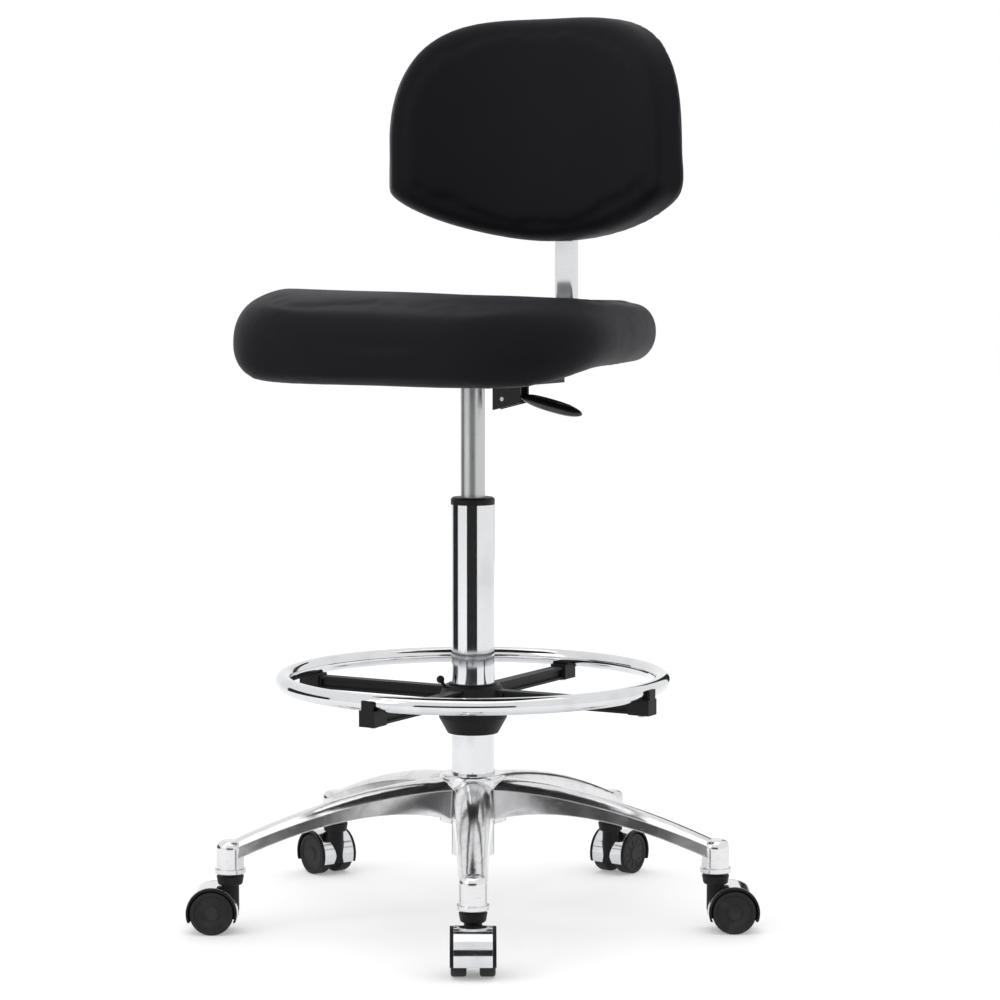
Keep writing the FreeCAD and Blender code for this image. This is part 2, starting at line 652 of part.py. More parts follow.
# ---------------------------------------------------------------- foot ring
def ring_torus(tube_radius):
    """Ring of round section on the foot ring's centre line."""
    return Part.makeTorus(RING_CENTRE_RADIUS, tube_radius, Vector(0, 0, RING_HEIGHT))


def spoke_angles():
    """Direction of every spoke, in degrees."""
    return [index * 360 / SPOKES for index in range(SPOKES)]


def ring_screw(radius, head_radius):
    """One screw up through the end block of the spoke along +X into the ring."""
    low = BLOCK_TOP - BLOCK_DEPTH
    shank = upright(radius, low, low + RING_SCREW_LENGTH, RING_CENTRE_RADIUS)
    head = upright(head_radius, low - RING_SCREW_HEAD, low, RING_CENTRE_RADIUS)
    return shank.fuse(head).removeSplitter()


def foot_ring():
    """Bright tube bent into a ring, drilled for its screws."""
    ring = ring_torus(RING_TUBE_RADIUS).cut(ring_torus(RING_TUBE_RADIUS - RING_TUBE_WALL))
    hole = upright(RING_SCREW_RADIUS + PRESS, BLOCK_TOP - BLOCK_DEPTH, RING_HEIGHT, RING_CENTRE_RADIUS)
    return ring.cut([spun(hole, angle) for angle in spoke_angles()])


def ring_screws():
    """Screws that hold the ring to the spokes."""
    screw = ring_screw(RING_SCREW_RADIUS, RING_SCREW_HEAD_RADIUS)
    return Part.makeCompound([spun(screw, angle) for angle in spoke_angles()])


def spoke():
    """Ribbed spoke along +X with an end block, a saddle and an outer tab."""
    low = SPOKE_TOP - SPOKE_DEPTH
    half = SPOKE_WIDTH / 2
    end = RING_OUTER_RADIUS + CLIP_TAB + FACE_GAP
    block_start = end - BLOCK_LENGTH
    beam = block(SLEEVE_RADIUS + OVERLAP, block_start + OVERLAP, -half, half, low, SPOKE_TOP)
    for side in (-1, 1):
        edges = sorted((side * (half - SPOKE_POCKET), side * (half + OVERCUT)))
        pocket_from = SPIDER_LOW_RADIUS + SPOKE_FLANGE
        pocket = block(
            pocket_from, block_start - SPOKE_FLANGE, edges[0], edges[1],
            low + SPOKE_FLANGE, SPOKE_TOP - SPOKE_FLANGE,
        )
        beam = beam.cut(pocket)
    foot = block(
        block_start, end, -BLOCK_WIDTH / 2, BLOCK_WIDTH / 2, BLOCK_TOP - BLOCK_DEPTH, BLOCK_TOP
    )
    tab = block(
        end - CLIP_TAB, end, -CLIP_TAB_WIDTH / 2, CLIP_TAB_WIDTH / 2,
        BLOCK_TOP - OVERCUT, BLOCK_TOP + CLIP_TAB_RISE,
    )
    arm = beam.fuse([foot, tab])
    arm = arm.cut(ring_torus(RING_TUBE_RADIUS + PRESS))
    return arm.cut(ring_screw(RING_SCREW_RADIUS + PRESS, RING_SCREW_RADIUS + PRESS))


def ring_knob_points():
    """Tip and ball centre of the slanted clamp screw, in its own vertical plane along +X."""
    tilt = math.radians(RING_KNOB_TILT)
    tip = Vector(RING_KNOB_TIP_RADIUS, 0, RING_KNOB_TIP_HEIGHT)
    way = Vector(math.cos(tilt), 0, math.sin(tilt))
    return tip, tip.add(way.multiply(RING_KNOB_LENGTH))


def ring_spider():
    """Hub and four spokes that carry the foot ring."""
    low = SLEEVE_LOW + BOWL_HEIGHT + FACE_GAP
    bore = SLEEVE_RADIUS + RUNNING
    waist = (low + SPIDER_TOP) / 2
    profile = (
        (bore, low), (SPIDER_LOW_RADIUS, low), (SPIDER_LOW_RADIUS, waist),
        (SPIDER_TOP_RADIUS + SPIDER_BEVEL, SPIDER_TOP - SPIDER_BEVEL),
        (SPIDER_TOP_RADIUS, SPIDER_TOP), (bore, SPIDER_TOP),
    )
    hub = turned(profile)
    arm = spoke()
    spider = hub.fuse([spun(arm, angle) for angle in spoke_angles()])
    tip, ball = ring_knob_points()
    hole = rod(RING_KNOB_STEM_RADIUS + RUNNING, tip.sub(ball.sub(tip)), ball)
    clear_ball = Part.makeSphere(RING_KNOB_BALL_RADIUS + FACE_GAP, ball)
    spider = spider.cut(spun(hole.fuse(clear_ball), RING_KNOB_ANGLE))
    return spider.cut(upright(bore, low - OVERCUT, SPIDER_TOP + OVERCUT)).removeSplitter()


def ring_collar():
    """Plastic sleeve that slides on the column, with the bowl the hub rests on."""
    outer = SLEEVE_RADIUS
    low = SLEEVE_LOW
    profile = (
        (SLEEVE_BORE, low), (BOWL_LOW_RADIUS, low), (BOWL_RADIUS, low + BOWL_CONE),
        (BOWL_RADIUS, low + BOWL_HEIGHT), (outer, low + BOWL_HEIGHT), (outer, SLEEVE_TOP),
        (SLEEVE_BORE, SLEEVE_TOP),
    )
    return turned(profile)


def ring_clamp_knob():
    """Small ball-ended screw that clamps the hub on its sleeve."""
    tip, ball = ring_knob_points()
    knob = rod(RING_KNOB_STEM_RADIUS, tip, ball).fuse(Part.makeSphere(RING_KNOB_BALL_RADIUS, ball))
    return spun(knob.removeSplitter(), RING_KNOB_ANGLE)


# ---------------------------------------------------------------- seat mechanism
def bar_section_prism(clearance, start, length):
    """Straight prism of the back bar's section, running along +Y at its own level."""
    half = BAR_WIDTH / 2 + clearance
    thick = BAR_THICKNESS / 2 + clearance
    corner = BAR_CORNER

    def place(across, height):
        return Vector(across, start, BAR_LEVEL + height)

    wire = soft_section(place, -half, half, -thick, thick, corner, corner)
    return Part.Face(wire).extrude(Vector(0, length, 0))


def mechanism_bolt_places():
    """Centres of the four seat bolts."""
    rows = (MECHANISM_BOLT_FRONT, MECHANISM_BOLT_REAR)
    return [(side * MECHANISM_BOLT_X, y) for side in (-1, 1) for y in rows]


def bolt_holes(low, high):
    """Clearance holes for the four seat bolts between two heights."""
    radius = MECHANISM_BOLT_RADIUS + FACE_GAP
    holes = [upright(radius, low, high, x, y) for x, y in mechanism_bolt_places()]
    return Part.makeCompound(holes)


def lever_ears():
    """Pair of hanging ears that carry the height lever's pivot."""
    ears = []
    for side in (-1, 1):
        y = side * EAR_GAP / 2
        points = [
            Vector(EAR_NEAR, y, HOUSING_LOW + OVERLAP), Vector(EAR_FAR, y, HOUSING_LOW + OVERLAP),
            Vector(EAR_FAR, y, EAR_FAR_LOW), Vector(EAR_NEAR, y, EAR_LOW),
        ]
        face = Part.Face(Part.makePolygon(points + points[:1]))
        ears.append(face.extrude(Vector(0, side * EAR_WALL, 0)))
    return ears


def housing_box():
    """Open-topped box under the seat with its bolting flange and the wing over the lever ears."""
    w = HOUSING_HALF_WIDTH
    t = HOUSING_WALL
    ear_half = EAR_GAP / 2 + EAR_WALL
    box = block(-w, w, HOUSING_FRONT, HOUSING_REAR, HOUSING_LOW, FLANGE_LOW + OVERLAP)
    flange = block(
        -FLANGE_HALF_WIDTH, FLANGE_HALF_WIDTH, FLANGE_FRONT, FLANGE_REAR, FLANGE_LOW, SHELL_LOW
    )
    cavity = block(
        -w + t, w - t, HOUSING_FRONT + t, HOUSING_REAR - t, HOUSING_LOW + t, SHELL_LOW + OVERCUT
    )
    wing = block(w - OVERLAP, EAR_FAR, -ear_half, ear_half, HOUSING_LOW, HOUSING_LOW + t)
    return box.fuse(flange).cut(cavity).fuse(wing)


def bar_guide():
    """Solid block inside the housing that the back bar slides in."""
    half = BAR_WIDTH / 2 + BAR_GUIDE_WALL
    top = BAR_LEVEL + BAR_THICKNESS / 2 + BAR_GUIDE_WALL
    return block(-half, half, BAR_GUIDE_FRONT, HOUSING_REAR, HOUSING_LOW, top)


def lever_slots():
    """Slot in the housing's floor and side wall that the lever rod moves in."""
    t = HOUSING_WALL
    half = LEVER_ROD_RADIUS + LEVER_SLOT_GAP
    low = HOUSING_LOW - OVERLAP
    floor_slot = block(
        CYLINDER_RADIUS + SOCKET_WALL, EAR_FAR - t, -half, half, low, HOUSING_LOW + t + OVERLAP
    )
    wall_from = HOUSING_HALF_WIDTH - t - OVERLAP
    wall_slot = block(
        wall_from, HOUSING_HALF_WIDTH + OVERLAP, -half, half, low, HOUSING_LOW + 2 * t
    )
    return [floor_slot, wall_slot]


def mechanism_housing():
    """Pressed box under the seat: socket for the gas lift, guide for the bar, lever ears."""
    socket = upright(CYLINDER_RADIUS + SOCKET_WALL, HOUSING_LOW, SOCKET_TOP)
    housing = housing_box().fuse([socket, bar_guide()] + lever_ears())
    bar_hole = bar_section_prism(RUNNING, BAR_GUIDE_FRONT - OVERCUT, HOUSING_REAR)
    below = HOUSING_LOW - OVERCUT
    cylinder_hole = upright(CYLINDER_RADIUS + PRESS, below, SHELL_LOW)
    knob_hole = upright(KNOB_STEM_RADIUS + RUNNING, below, BAR_LEVEL, 0, DEPTH_KNOB_Y)
    pivot_from = Vector(PIVOT_X, -EAR_GAP, PIVOT_Z)
    pivot_hole = rod(PIVOT_RADIUS + RUNNING, pivot_from, Vector(PIVOT_X, EAR_GAP, PIVOT_Z))
    cuts = lever_slots() + [bar_hole, cylinder_hole, knob_hole, pivot_hole]
    cuts.append(bolt_holes(HOUSING_LOW, SHELL_LOW + OVERCUT))
    return housing.cut(cuts).removeSplitter()


def mechanism_bolts():
    """Four bolts from the flange up into the seat board."""
    bolts = []
    for x, y in mechanism_bolt_places():
        shank = upright(MECHANISM_BOLT_RADIUS, FLANGE_LOW, FLANGE_LOW + MECHANISM_BOLT_LENGTH, x, y)
        head = upright(MECHANISM_BOLT_HEAD_RADIUS, FLANGE_LOW - MECHANISM_BOLT_HEAD, FLANGE_LOW, x, y)
        bolts.append(shank.fuse(head).removeSplitter())
    return Part.makeCompound(bolts)


# ---------------------------------------------------------------- height lever
def lever_grip_way():
    """Unit vector along the drooping paddle."""
    droop = math.radians(PADDLE_DROOP)
    return Vector(math.cos(droop), 0, -math.sin(droop))


def lever_rod():
    """Cranked rod from the release pin, over its pivot, into the paddle."""
    start = Vector(LEVER_OUT_X, 0, LEVER_OUT_Z)
    grip_end = start.add(lever_grip_way().multiply(PADDLE_GRIP))
    path = [
        Vector(LEVER_INNER_X, 0, LEVER_LEVEL), Vector(LEVER_KNEE_X, 0, LEVER_LEVEL),
        Vector(PIVOT_X, 0, PIVOT_Z), start, grip_end,
    ]
    pieces = [rod(LEVER_ROD_RADIUS, a, b) for a, b in zip(path, path[1:])]
    pieces += [Part.makeSphere(LEVER_ROD_RADIUS, point) for point in path[1:4]]
    half = EAR_GAP / 2 + EAR_WALL - FACE_GAP
    pieces.append(rod(PIVOT_RADIUS, Vector(PIVOT_X, -half, PIVOT_Z), Vector(PIVOT_X, half, PIVOT_Z)))
    return pieces[0].fuse(pieces[1:]).removeSplitter()


def oval(length, width, height, centre):
    """Ellipsoid with its long axis along X."""
    ball = Part.makeSphere(1.0)
    matrix = FreeCAD.Matrix()
    matrix.scale(length / 2, width / 2, height / 2)
    ball = ball.transformGeometry(matrix)
    ball.translate(centre)
    return ball


def lever_paddle():
    """Flattened oval paddle with a shallow finger dish on top."""
    centre = Vector(PADDLE_LENGTH / 2, 0, 0)
    slab = block(
        0, PADDLE_LENGTH, -PADDLE_WIDTH, PADDLE_WIDTH, -PADDLE_THICKNESS / 2, PADDLE_THICKNESS / 2
    )
    body = oval(PADDLE_LENGTH, PADDLE_WIDTH, PADDLE_THICKNESS * PADDLE_CROWN, centre).common(slab)
    dish_centre = Vector(PADDLE_LENGTH * PADDLE_DISH_ALONG, 0, PADDLE_THICKNESS / 2)
    dish = oval(PADDLE_DISH_LENGTH, PADDLE_DISH_WIDTH, 2 * PADDLE_DISH_DEPTH, dish_centre)
    body = body.cut(dish)
    socket = rod(LEVER_ROD_RADIUS + PRESS, Vector(-OVERCUT, 0, 0), Vector(PADDLE_GRIP + PRESS, 0, 0))
    body = body.cut(socket)
    body.rotate(Vector(0, 0, 0), Y_AXIS, PADDLE_DROOP)
    body.translate(Vector(LEVER_OUT_X, 0, LEVER_OUT_Z))
    return body


# ---------------------------------------------------------------- seat
def seat_half_width(y, inset):
    """Half width of the seat outline at y, drawn in by inset all round."""
    middle = (SEAT_FRONT + SEAT_REAR) / 2
    half_depth = (SEAT_REAR - SEAT_FRONT) / 2
    share = (y - SEAT_FRONT) / (SEAT_REAR - SEAT_FRONT)
    full = SEAT_FRONT_HALF_WIDTH + (SEAT_REAR_HALF_WIDTH - SEAT_FRONT_HALF_WIDTH) * share
    return (full - inset) * fall_off((y - middle) / (half_depth - inset), SEAT_CORNER_POWER)


def seat_outline(inset, height, samples=48):
    """Closed outline of the seat plan at a height, drawn in by inset."""
    middle = (SEAT_FRONT + SEAT_REAR) / 2
    half_depth = (SEAT_REAR - SEAT_FRONT) / 2 - inset
    power = 2 / SEAT_CORNER_POWER
    points = []
    for index in range(samples):
        turn = 2 * math.pi * (index + 0.5) / samples
        c = math.cos(turn)
        s = math.sin(turn)
        y = middle + half_depth * math.copysign(abs(s) ** power, s)
        share = (y - SEAT_FRONT) / (SEAT_REAR - SEAT_FRONT)
        full = SEAT_FRONT_HALF_WIDTH + (SEAT_REAR_HALF_WIDTH - SEAT_FRONT_HALF_WIDTH) * share
        x = (full - inset) * math.copysign(abs(c) ** power, c)
        points.append(Vector(x, y, height))
    return points


def seat_shell():
    """Moulded cover under the seat."""
    plate = spline_prism(seat_outline(SEAT_SHELL_INSET, SHELL_LOW), Vector(0, 0, SEAT_SHELL_WALL))
    return plate.cut(bolt_holes(SHELL_LOW - OVERCUT, BOARD_LOW + OVERCUT))


def seat_board():
    """Plywood seat board."""
    way = Vector(0, 0, SEAT_BOARD_THICKNESS)
    board = spline_prism(seat_outline(SEAT_BOARD_INSET, BOARD_LOW), way)
    return board.cut(bolt_holes(BOARD_LOW - OVERCUT, BOARD_LOW + SEAT_BOARD_THICKNESS + OVERCUT))


def seat_section(fraction):
    """Section of the seat padding across the seat, at a share of its half depth."""
    y = (SEAT_FRONT + SEAT_REAR) / 2 + (SEAT_REAR - SEAT_FRONT) / 2 * fraction
    droop = max(0.0, 1 - (y - SEAT_FRONT) / SEAT_DROOP_LENGTH) ** SEAT_DROOP_POWER
    crest = max(0.0, 1 - abs(y - SEAT_FRONT - SEAT_CREST_BACK) / SEAT_CREST_SPREAD)
    low = SHELL_LOW - SEAT_LIP - SEAT_FRONT_DROOP * droop
    high = SEAT_TOP + SEAT_FRONT_RISE * crest
    centre = (low + high) / 2
    half_tall = (high - low) / 2 * fall_off(fraction, SEAT_EDGE_POWER)
    half = seat_half_width(y, 0.0)

    def place(height, across):
        lift = max(0.0, (height - centre) / half_tall)
        return Vector(across, y, height - SEAT_CREST_LEAN * crest * lift * across / half)

    return soft_section(
        place, centre - half_tall, centre + half_tall, -half, half,
        SEAT_LOW_ROUND, SEAT_TOP_ROUND + SEAT_NOSE_ROUND * crest,
    )


def seat_cushion():
    """Seat padding with a raised, drooping front edge, hollowed for the board and cover."""
    padding = Part.makeLoft([seat_section(share) for share in both_ways(SEAT_STATIONS)], True)
    under = spline_prism(
        seat_outline(SEAT_SHELL_INSET - SOFT_GAP, SHELL_LOW - SEAT_LIP - SEAT_FRONT_DROOP - OVERCUT),
        Vector(0, 0, SEAT_LIP + SEAT_FRONT_DROOP + OVERCUT + SEAT_SHELL_WALL + SOFT_GAP),
    )
    board_room = spline_prism(
        seat_outline(SEAT_BOARD_INSET - SOFT_GAP, SHELL_LOW),
        Vector(0, 0, SEAT_SHELL_WALL + SEAT_BOARD_THICKNESS + SOFT_GAP),
    )
    return padding.cut(under.fuse(board_room))


# ---------------------------------------------------------------- back bar and knobs
def bar_run(width, thickness, corner, extra):
    """Bar of the given section along the J path; extra lengthens both ends."""
    half = width / 2
    thick = thickness / 2

    def flat_place(across, height):
        return Vector(across, BAR_UPRIGHT_Y - BAR_BEND, BAR_LEVEL + height)

    section = Part.Face(soft_section(flat_place, -half, half, -thick, thick, corner, corner))
    level = section.extrude(Vector(0, BAR_FRONT - extra - (BAR_UPRIGHT_Y - BAR_BEND), 0))
    pivot = Vector(0, BAR_UPRIGHT_Y - BAR_BEND, BAR_LEVEL + BAR_BEND)
    bend = section.revolve(pivot, X_AXIS, 90)
    upright_face = section.copy()
    upright_face.rotate(pivot, X_AXIS, 90)
    riser = upright_face.extrude(Vector(0, 0, BAR_TOP + extra - BAR_LEVEL - BAR_BEND))
    return level.fuse([bend, riser])


def back_bar():
    """Bright J-shaped tube between the seat mechanism and the back."""
    inner = bar_run(
        BAR_WIDTH - 2 * BAR_WALL, BAR_THICKNESS - 2 * BAR_WALL, BAR_CORNER - BAR_WALL, OVERCUT
    )
    return bar_run(BAR_WIDTH, BAR_THICKNESS, BAR_CORNER, 0.0).cut(inner).removeSplitter()


def lobed_knob(radius, height, stem_radius, stem_length):
    """Knob standing on z = 0 with finger hollows, its stem rising above it."""
    knob = upright(radius, 0, height)
    for index in range(KNOB_LOBES):
        turn = 2 * math.pi * index / KNOB_LOBES
        x = (radius + KNOB_LOBE_OUTSIDE) * math.cos(turn)
        y = (radius + KNOB_LOBE_OUTSIDE) * math.sin(turn)
        knob = knob.cut(upright(KNOB_LOBE_RADIUS, -OVERCUT, height * KNOB_LOBE_SHARE, x, y))
    return knob.fuse(upright(stem_radius, height, height + stem_length)).removeSplitter()


def depth_knob():
    """Knob under the mechanism that clamps the bar's depth."""
    stem_top = BAR_LEVEL - BAR_THICKNESS / 2 - FACE_GAP
    knob_top = HOUSING_LOW - FACE_GAP
    knob = lobed_knob(DEPTH_KNOB_RADIUS, DEPTH_KNOB_HEIGHT, KNOB_STEM_RADIUS, stem_top - knob_top)
    knob.translate(Vector(0, DEPTH_KNOB_Y, knob_top - DEPTH_KNOB_HEIGHT))
    return knob


def height_knob():
    """Knob behind the bracket that clamps the back's height."""
    face = BAR_REAR_FACE + RUNNING + BRACKET_SLEEVE_WALL + FACE_GAP
    stem = face - BAR_REAR_FACE - FACE_GAP
    knob = lobed_knob(HEIGHT_KNOB_RADIUS, HEIGHT_KNOB_DEPTH, KNOB_STEM_RADIUS, stem)
    knob.rotate(Vector(0, 0, 0), X_AXIS, 90)
    knob.translate(Vector(0, face + HEIGHT_KNOB_DEPTH, BRACKET_MIDDLE))
    return knob


# ---------------------------------------------------------------- back
def back_place(angle):
    """Vertical section plane through the back's curve axis at an angle from straight behind."""
    def place(across, height):
        return Vector(across * math.sin(angle), BACK_CENTRE_Y + across * math.cos(angle), height)
    return place


def back_section(fraction):
    """Upright section of the back padding at a share of its half width."""
    angle = math.asin(BACK_HALF_WIDTH * fraction / PAD_REAR_RADIUS)
    high = BACK_WIDEST + (BACK_TOP - BACK_WIDEST) * fall_off(fraction, BACK_UPPER_POWER)
    low = BACK_WIDEST - (BACK_WIDEST - BACK_LOW) * fall_off(fraction, BACK_LOWER_POWER)
    share = BACK_RIM_SHARE + (1 - BACK_RIM_SHARE) * fall_off(fraction, BACK_EDGE_POWER)
    thick = (BACK_PAD_THICKNESS - BACK_COVER_WALL) * share
    front_round = min(BACK_FRONT_ROUND, thick * BACK_FRONT_ROUND_SHARE)
    rear_round = min(BACK_REAR_ROUND, thick * BACK_REAR_ROUND_SHARE)
    return soft_section(
        back_place(angle), PAD_REAR_RADIUS - thick, PAD_REAR_RADIUS, low, high,
        front_round, rear_round,
    )


def back_cushion():
    """Curved back padding, thinner towards its rim, hollowed for the board."""
    padding = Part.makeLoft([back_section(share) for share in both_ways(BACK_STATIONS)], True)
    room = back_layer(
        PAD_REAR_RADIUS - BACK_BOARD_THICKNESS - 2 * SOFT_GAP, PAD_REAR_RADIUS + OVERCUT,
        BACK_BOARD_INSET - SOFT_GAP,
    )
    return padding.cut(room)


def back_outline(inset, samples=48):
    """Closed outline of the back seen from in front, drawn in by inset."""
    points = []
    for index in range(samples):
        turn = 2 * math.pi * (index + 0.5) / samples
        c = math.cos(turn)
        s = math.sin(turn)
        power = BACK_UPPER_POWER if s > 0 else BACK_LOWER_POWER
        reach = (BACK_TOP - BACK_WIDEST if s > 0 else BACK_WIDEST - BACK_LOW) - inset
        x = (BACK_HALF_WIDTH - inset) * math.copysign(abs(c) ** (2 / power), c)
        z = BACK_WIDEST + reach * math.copysign(abs(s) ** (2 / power), s)
        points.append(Vector(x, 0, z))
    return points


def back_layer(inner, outer, inset):
    """Layer of the back between two radii about its curve axis."""
    slab = spline_prism(back_outline(inset), Vector(0, 2 * BACK_REAR_Y, 0))
    low = BACK_LOW - OVERCUT
    tall = BACK_TOP - BACK_LOW + 2 * OVERCUT
    axis_point = Vector(0, BACK_CENTRE_Y, low)
    shell = Part.makeCylinder(outer, tall, axis_point).cut(Part.makeCylinder(inner, tall, axis_point))
    return slab.common(shell)


def back_bolt_places():
    """Centres of the four back bolts as (x, z)."""
    rows = (BRACKET_LOW + BACK_BOLT_EDGE, BRACKET_HIGH - BACK_BOLT_EDGE)
    return [(side * BACK_BOLT_X, z) for side in (-1, 1) for z in rows]


def back_bolt_rods(radius, start, end):
    """Bars along Y at the four bolt centres."""
    return [rod(radius, Vector(x, start, z), Vector(x, end, z)) for x, z in back_bolt_places()]


def back_holes():
    """Clearance holes for the back bolts, right through every layer."""
    radius = BACK_BOLT_RADIUS + FACE_GAP
    rear = BRACKET_FRONT + BRACKET_PLATE
    return Part.makeCompound(back_bolt_rods(radius, rear - BACK_BOLT_LENGTH - SOFT_GAP, rear + OVERCUT))


def back_board():
    """Curved plywood back board."""
    outer = PAD_REAR_RADIUS - SOFT_GAP
    board = back_layer(outer - BACK_BOARD_THICKNESS, outer, BACK_BOARD_INSET)
    return board.cut(back_holes())


def back_shell():
    """Moulded cover behind the back."""
    cover = back_layer(BACK_CURVE_RADIUS - BACK_COVER_WALL, BACK_CURVE_RADIUS, BACK_COVER_INSET)
    return cover.cut(back_holes())


def back_bracket():
    """Plate bolted to the back, with the square sleeve that slides on the bar."""
    rear = BRACKET_FRONT + BRACKET_PLATE
    plate = block(
        -BRACKET_HALF_WIDTH, BRACKET_HALF_WIDTH, BRACKET_FRONT, rear, BRACKET_LOW, BRACKET_HIGH
    )
    half = BAR_WIDTH / 2 + RUNNING + BRACKET_SLEEVE_WALL
    sleeve_rear = BAR_REAR_FACE + RUNNING + BRACKET_SLEEVE_WALL
    box = block(-half, half, BRACKET_FRONT, sleeve_rear, BRACKET_SLEEVE_LOW, BRACKET_SLEEVE_HIGH)
    bracket = plate.fuse(box)
    hole_half = BAR_WIDTH / 2 + RUNNING
    hole_thick = BAR_THICKNESS / 2 + RUNNING

    def place(across, depth):
        return Vector(across, BAR_UPRIGHT_Y + depth, BRACKET_LOW)

    wire = soft_section(place, -hole_half, hole_half, -hole_thick, hole_thick, BAR_CORNER, BAR_CORNER)
    bar_hole = Part.Face(wire).extrude(Vector(0, 0, BRACKET_HIGH - BRACKET_LOW))
    stem_start = Vector(0, BAR_UPRIGHT_Y, BRACKET_MIDDLE)
    stem_end = Vector(0, sleeve_rear + OVERCUT, BRACKET_MIDDLE)
    stem_hole = rod(KNOB_STEM_RADIUS + RUNNING, stem_start, stem_end)
    bracket = bracket.cut([bar_hole, stem_hole])
    return bracket.cut(back_holes()).removeSplitter()


def back_bolts():
    """Four bolts from the bracket plate into the back board."""
    rear = BRACKET_FRONT + BRACKET_PLATE
    shanks = back_bolt_rods(BACK_BOLT_RADIUS, rear, rear - BACK_BOLT_LENGTH)
    heads = back_bolt_rods(BACK_BOLT_HEAD_RADIUS, rear, rear + BACK_BOLT_HEAD)
    bolts = [shank.fuse(head).removeSplitter() for shank, head in zip(shanks, heads)]
    return Part.makeCompound(bolts)


# ---------------------------------------------------------------- build
SINGLE_PIECES = {
    "base_star": base_star,
    "column_tube": column_tube,
    "column_bushing": column_bushing,
    "column_collar": column_collar,
    "thrust_bearing": thrust_bearing,
    "bump_stop": bump_stop,
    "retaining_clip": retaining_clip,
    "piston_rod": piston_rod,
    "gas_cylinder": gas_cylinder,
    "release_pin": release_pin,
    "foot_ring": foot_ring,
    "ring_spider": ring_spider,
    "ring_collar": ring_collar,
    "ring_clamp_knob": ring_clamp_knob,
    "ring_screws": ring_screws,
    "mechanism_housing": mechanism_housing,
    "mechanism_bolts": mechanism_bolts,
    "lever_rod": lever_rod,
    "lever_paddle": lever_paddle,
    "seat_shell": seat_shell,
    "seat_board": seat_board,
    "seat_cushion": seat_cushion,
    "back_bar": back_bar,
    "depth_knob": depth_knob,
    "height_knob": height_knob,
    "back_bracket": back_bracket,
    "back_board": back_board,
    "back_cushion": back_cushion,
    "back_shell": back_shell,
    "back_bolts": back_bolts,
}

for name, make in SINGLE_PIECES.items():
    make().exportStep("parts/" + name + ".step")

CASTER_PIECES = {
    "stem": caster_stem(),
    "body": caster_body(),
    "hood": caster_hood(),
    "axle": caster_axle(),
    "wheel_left": caster_wheel(1),
    "wheel_right": caster_wheel(-1),
}

for caster_index in range(STAR_ARMS):
    for name, shape in CASTER_PIECES.items():
        moved_shape = caster_place(shape, caster_index)
        moved_shape.exportStep("parts/caster_%d_%s.step" % (caster_index + 1, name))
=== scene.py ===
"""Looks of the drafting chair: finishes, padding, small fittings, floor, light and camera.

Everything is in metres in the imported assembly's own frame: +Z is up, the floor is z = 0, the
column stands on the Z axis and the chair faces -Y. Hard parts keep the assembly's meshes and
get a finish; the seat and back padding are made here and stand for the plain padding solids.
"""
import json
import logging
import math
from dataclasses import dataclass, field
from enum import Enum
from typing import Any, Iterable, Sequence

import bmesh
import bpy
from mathutils import Matrix, Vector, noise
from mathutils.bvhtree import BVHTree

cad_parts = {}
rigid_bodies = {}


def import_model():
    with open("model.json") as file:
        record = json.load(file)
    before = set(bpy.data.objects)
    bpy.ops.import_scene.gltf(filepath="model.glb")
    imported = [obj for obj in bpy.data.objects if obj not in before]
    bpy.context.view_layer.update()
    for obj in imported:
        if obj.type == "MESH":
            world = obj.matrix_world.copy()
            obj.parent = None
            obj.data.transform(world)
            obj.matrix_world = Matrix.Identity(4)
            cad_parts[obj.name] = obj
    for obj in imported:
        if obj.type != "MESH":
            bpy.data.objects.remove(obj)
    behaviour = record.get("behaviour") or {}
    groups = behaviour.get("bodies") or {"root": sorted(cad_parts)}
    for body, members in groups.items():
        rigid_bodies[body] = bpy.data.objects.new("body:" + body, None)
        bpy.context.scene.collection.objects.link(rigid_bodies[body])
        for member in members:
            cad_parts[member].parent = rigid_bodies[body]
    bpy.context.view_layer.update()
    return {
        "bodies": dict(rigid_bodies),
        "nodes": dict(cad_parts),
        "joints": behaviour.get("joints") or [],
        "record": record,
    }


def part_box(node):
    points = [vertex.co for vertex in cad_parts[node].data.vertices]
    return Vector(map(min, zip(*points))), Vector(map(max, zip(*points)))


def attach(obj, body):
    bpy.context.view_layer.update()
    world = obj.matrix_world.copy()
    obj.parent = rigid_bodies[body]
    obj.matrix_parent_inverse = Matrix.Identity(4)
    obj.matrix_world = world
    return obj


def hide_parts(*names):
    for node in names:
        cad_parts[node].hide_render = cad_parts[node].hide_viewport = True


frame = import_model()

log = logging.getLogger("drafting_chair")
logging.basicConfig(level=logging.INFO, format="%(name)s: %(message)s")

Colour = tuple[float, float, float]
MM = 0.001


class Slot(Enum):
    """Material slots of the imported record."""

    ALUMINIUM = "polished_aluminium"
    CHROME_TUBE = "chrome_tube"
    CHROME_PLATE = "chrome_plate"
    SATIN_STEEL = "satin_steel"
    ZINC_STEEL = "bearing_steel"
    DARK_PAINT = "dark_paint"
    NYLON = "black_nylon"
    PLASTIC = "black_plastic"
    GLOSS_PLASTIC = "gloss_black_plastic"
    WHEEL = "wheel_nylon"
    RUBBER = "black_rubber"
    PLYWOOD = "plywood"
    VINYL = "black_vinyl"


class Axis(Enum):
    """Directions that a grain or a layer can follow."""

    X = (1.0, 0.0, 0.0)
    Y = (0.0, 1.0, 0.0)
    Z = (0.0, 0.0, 1.0)


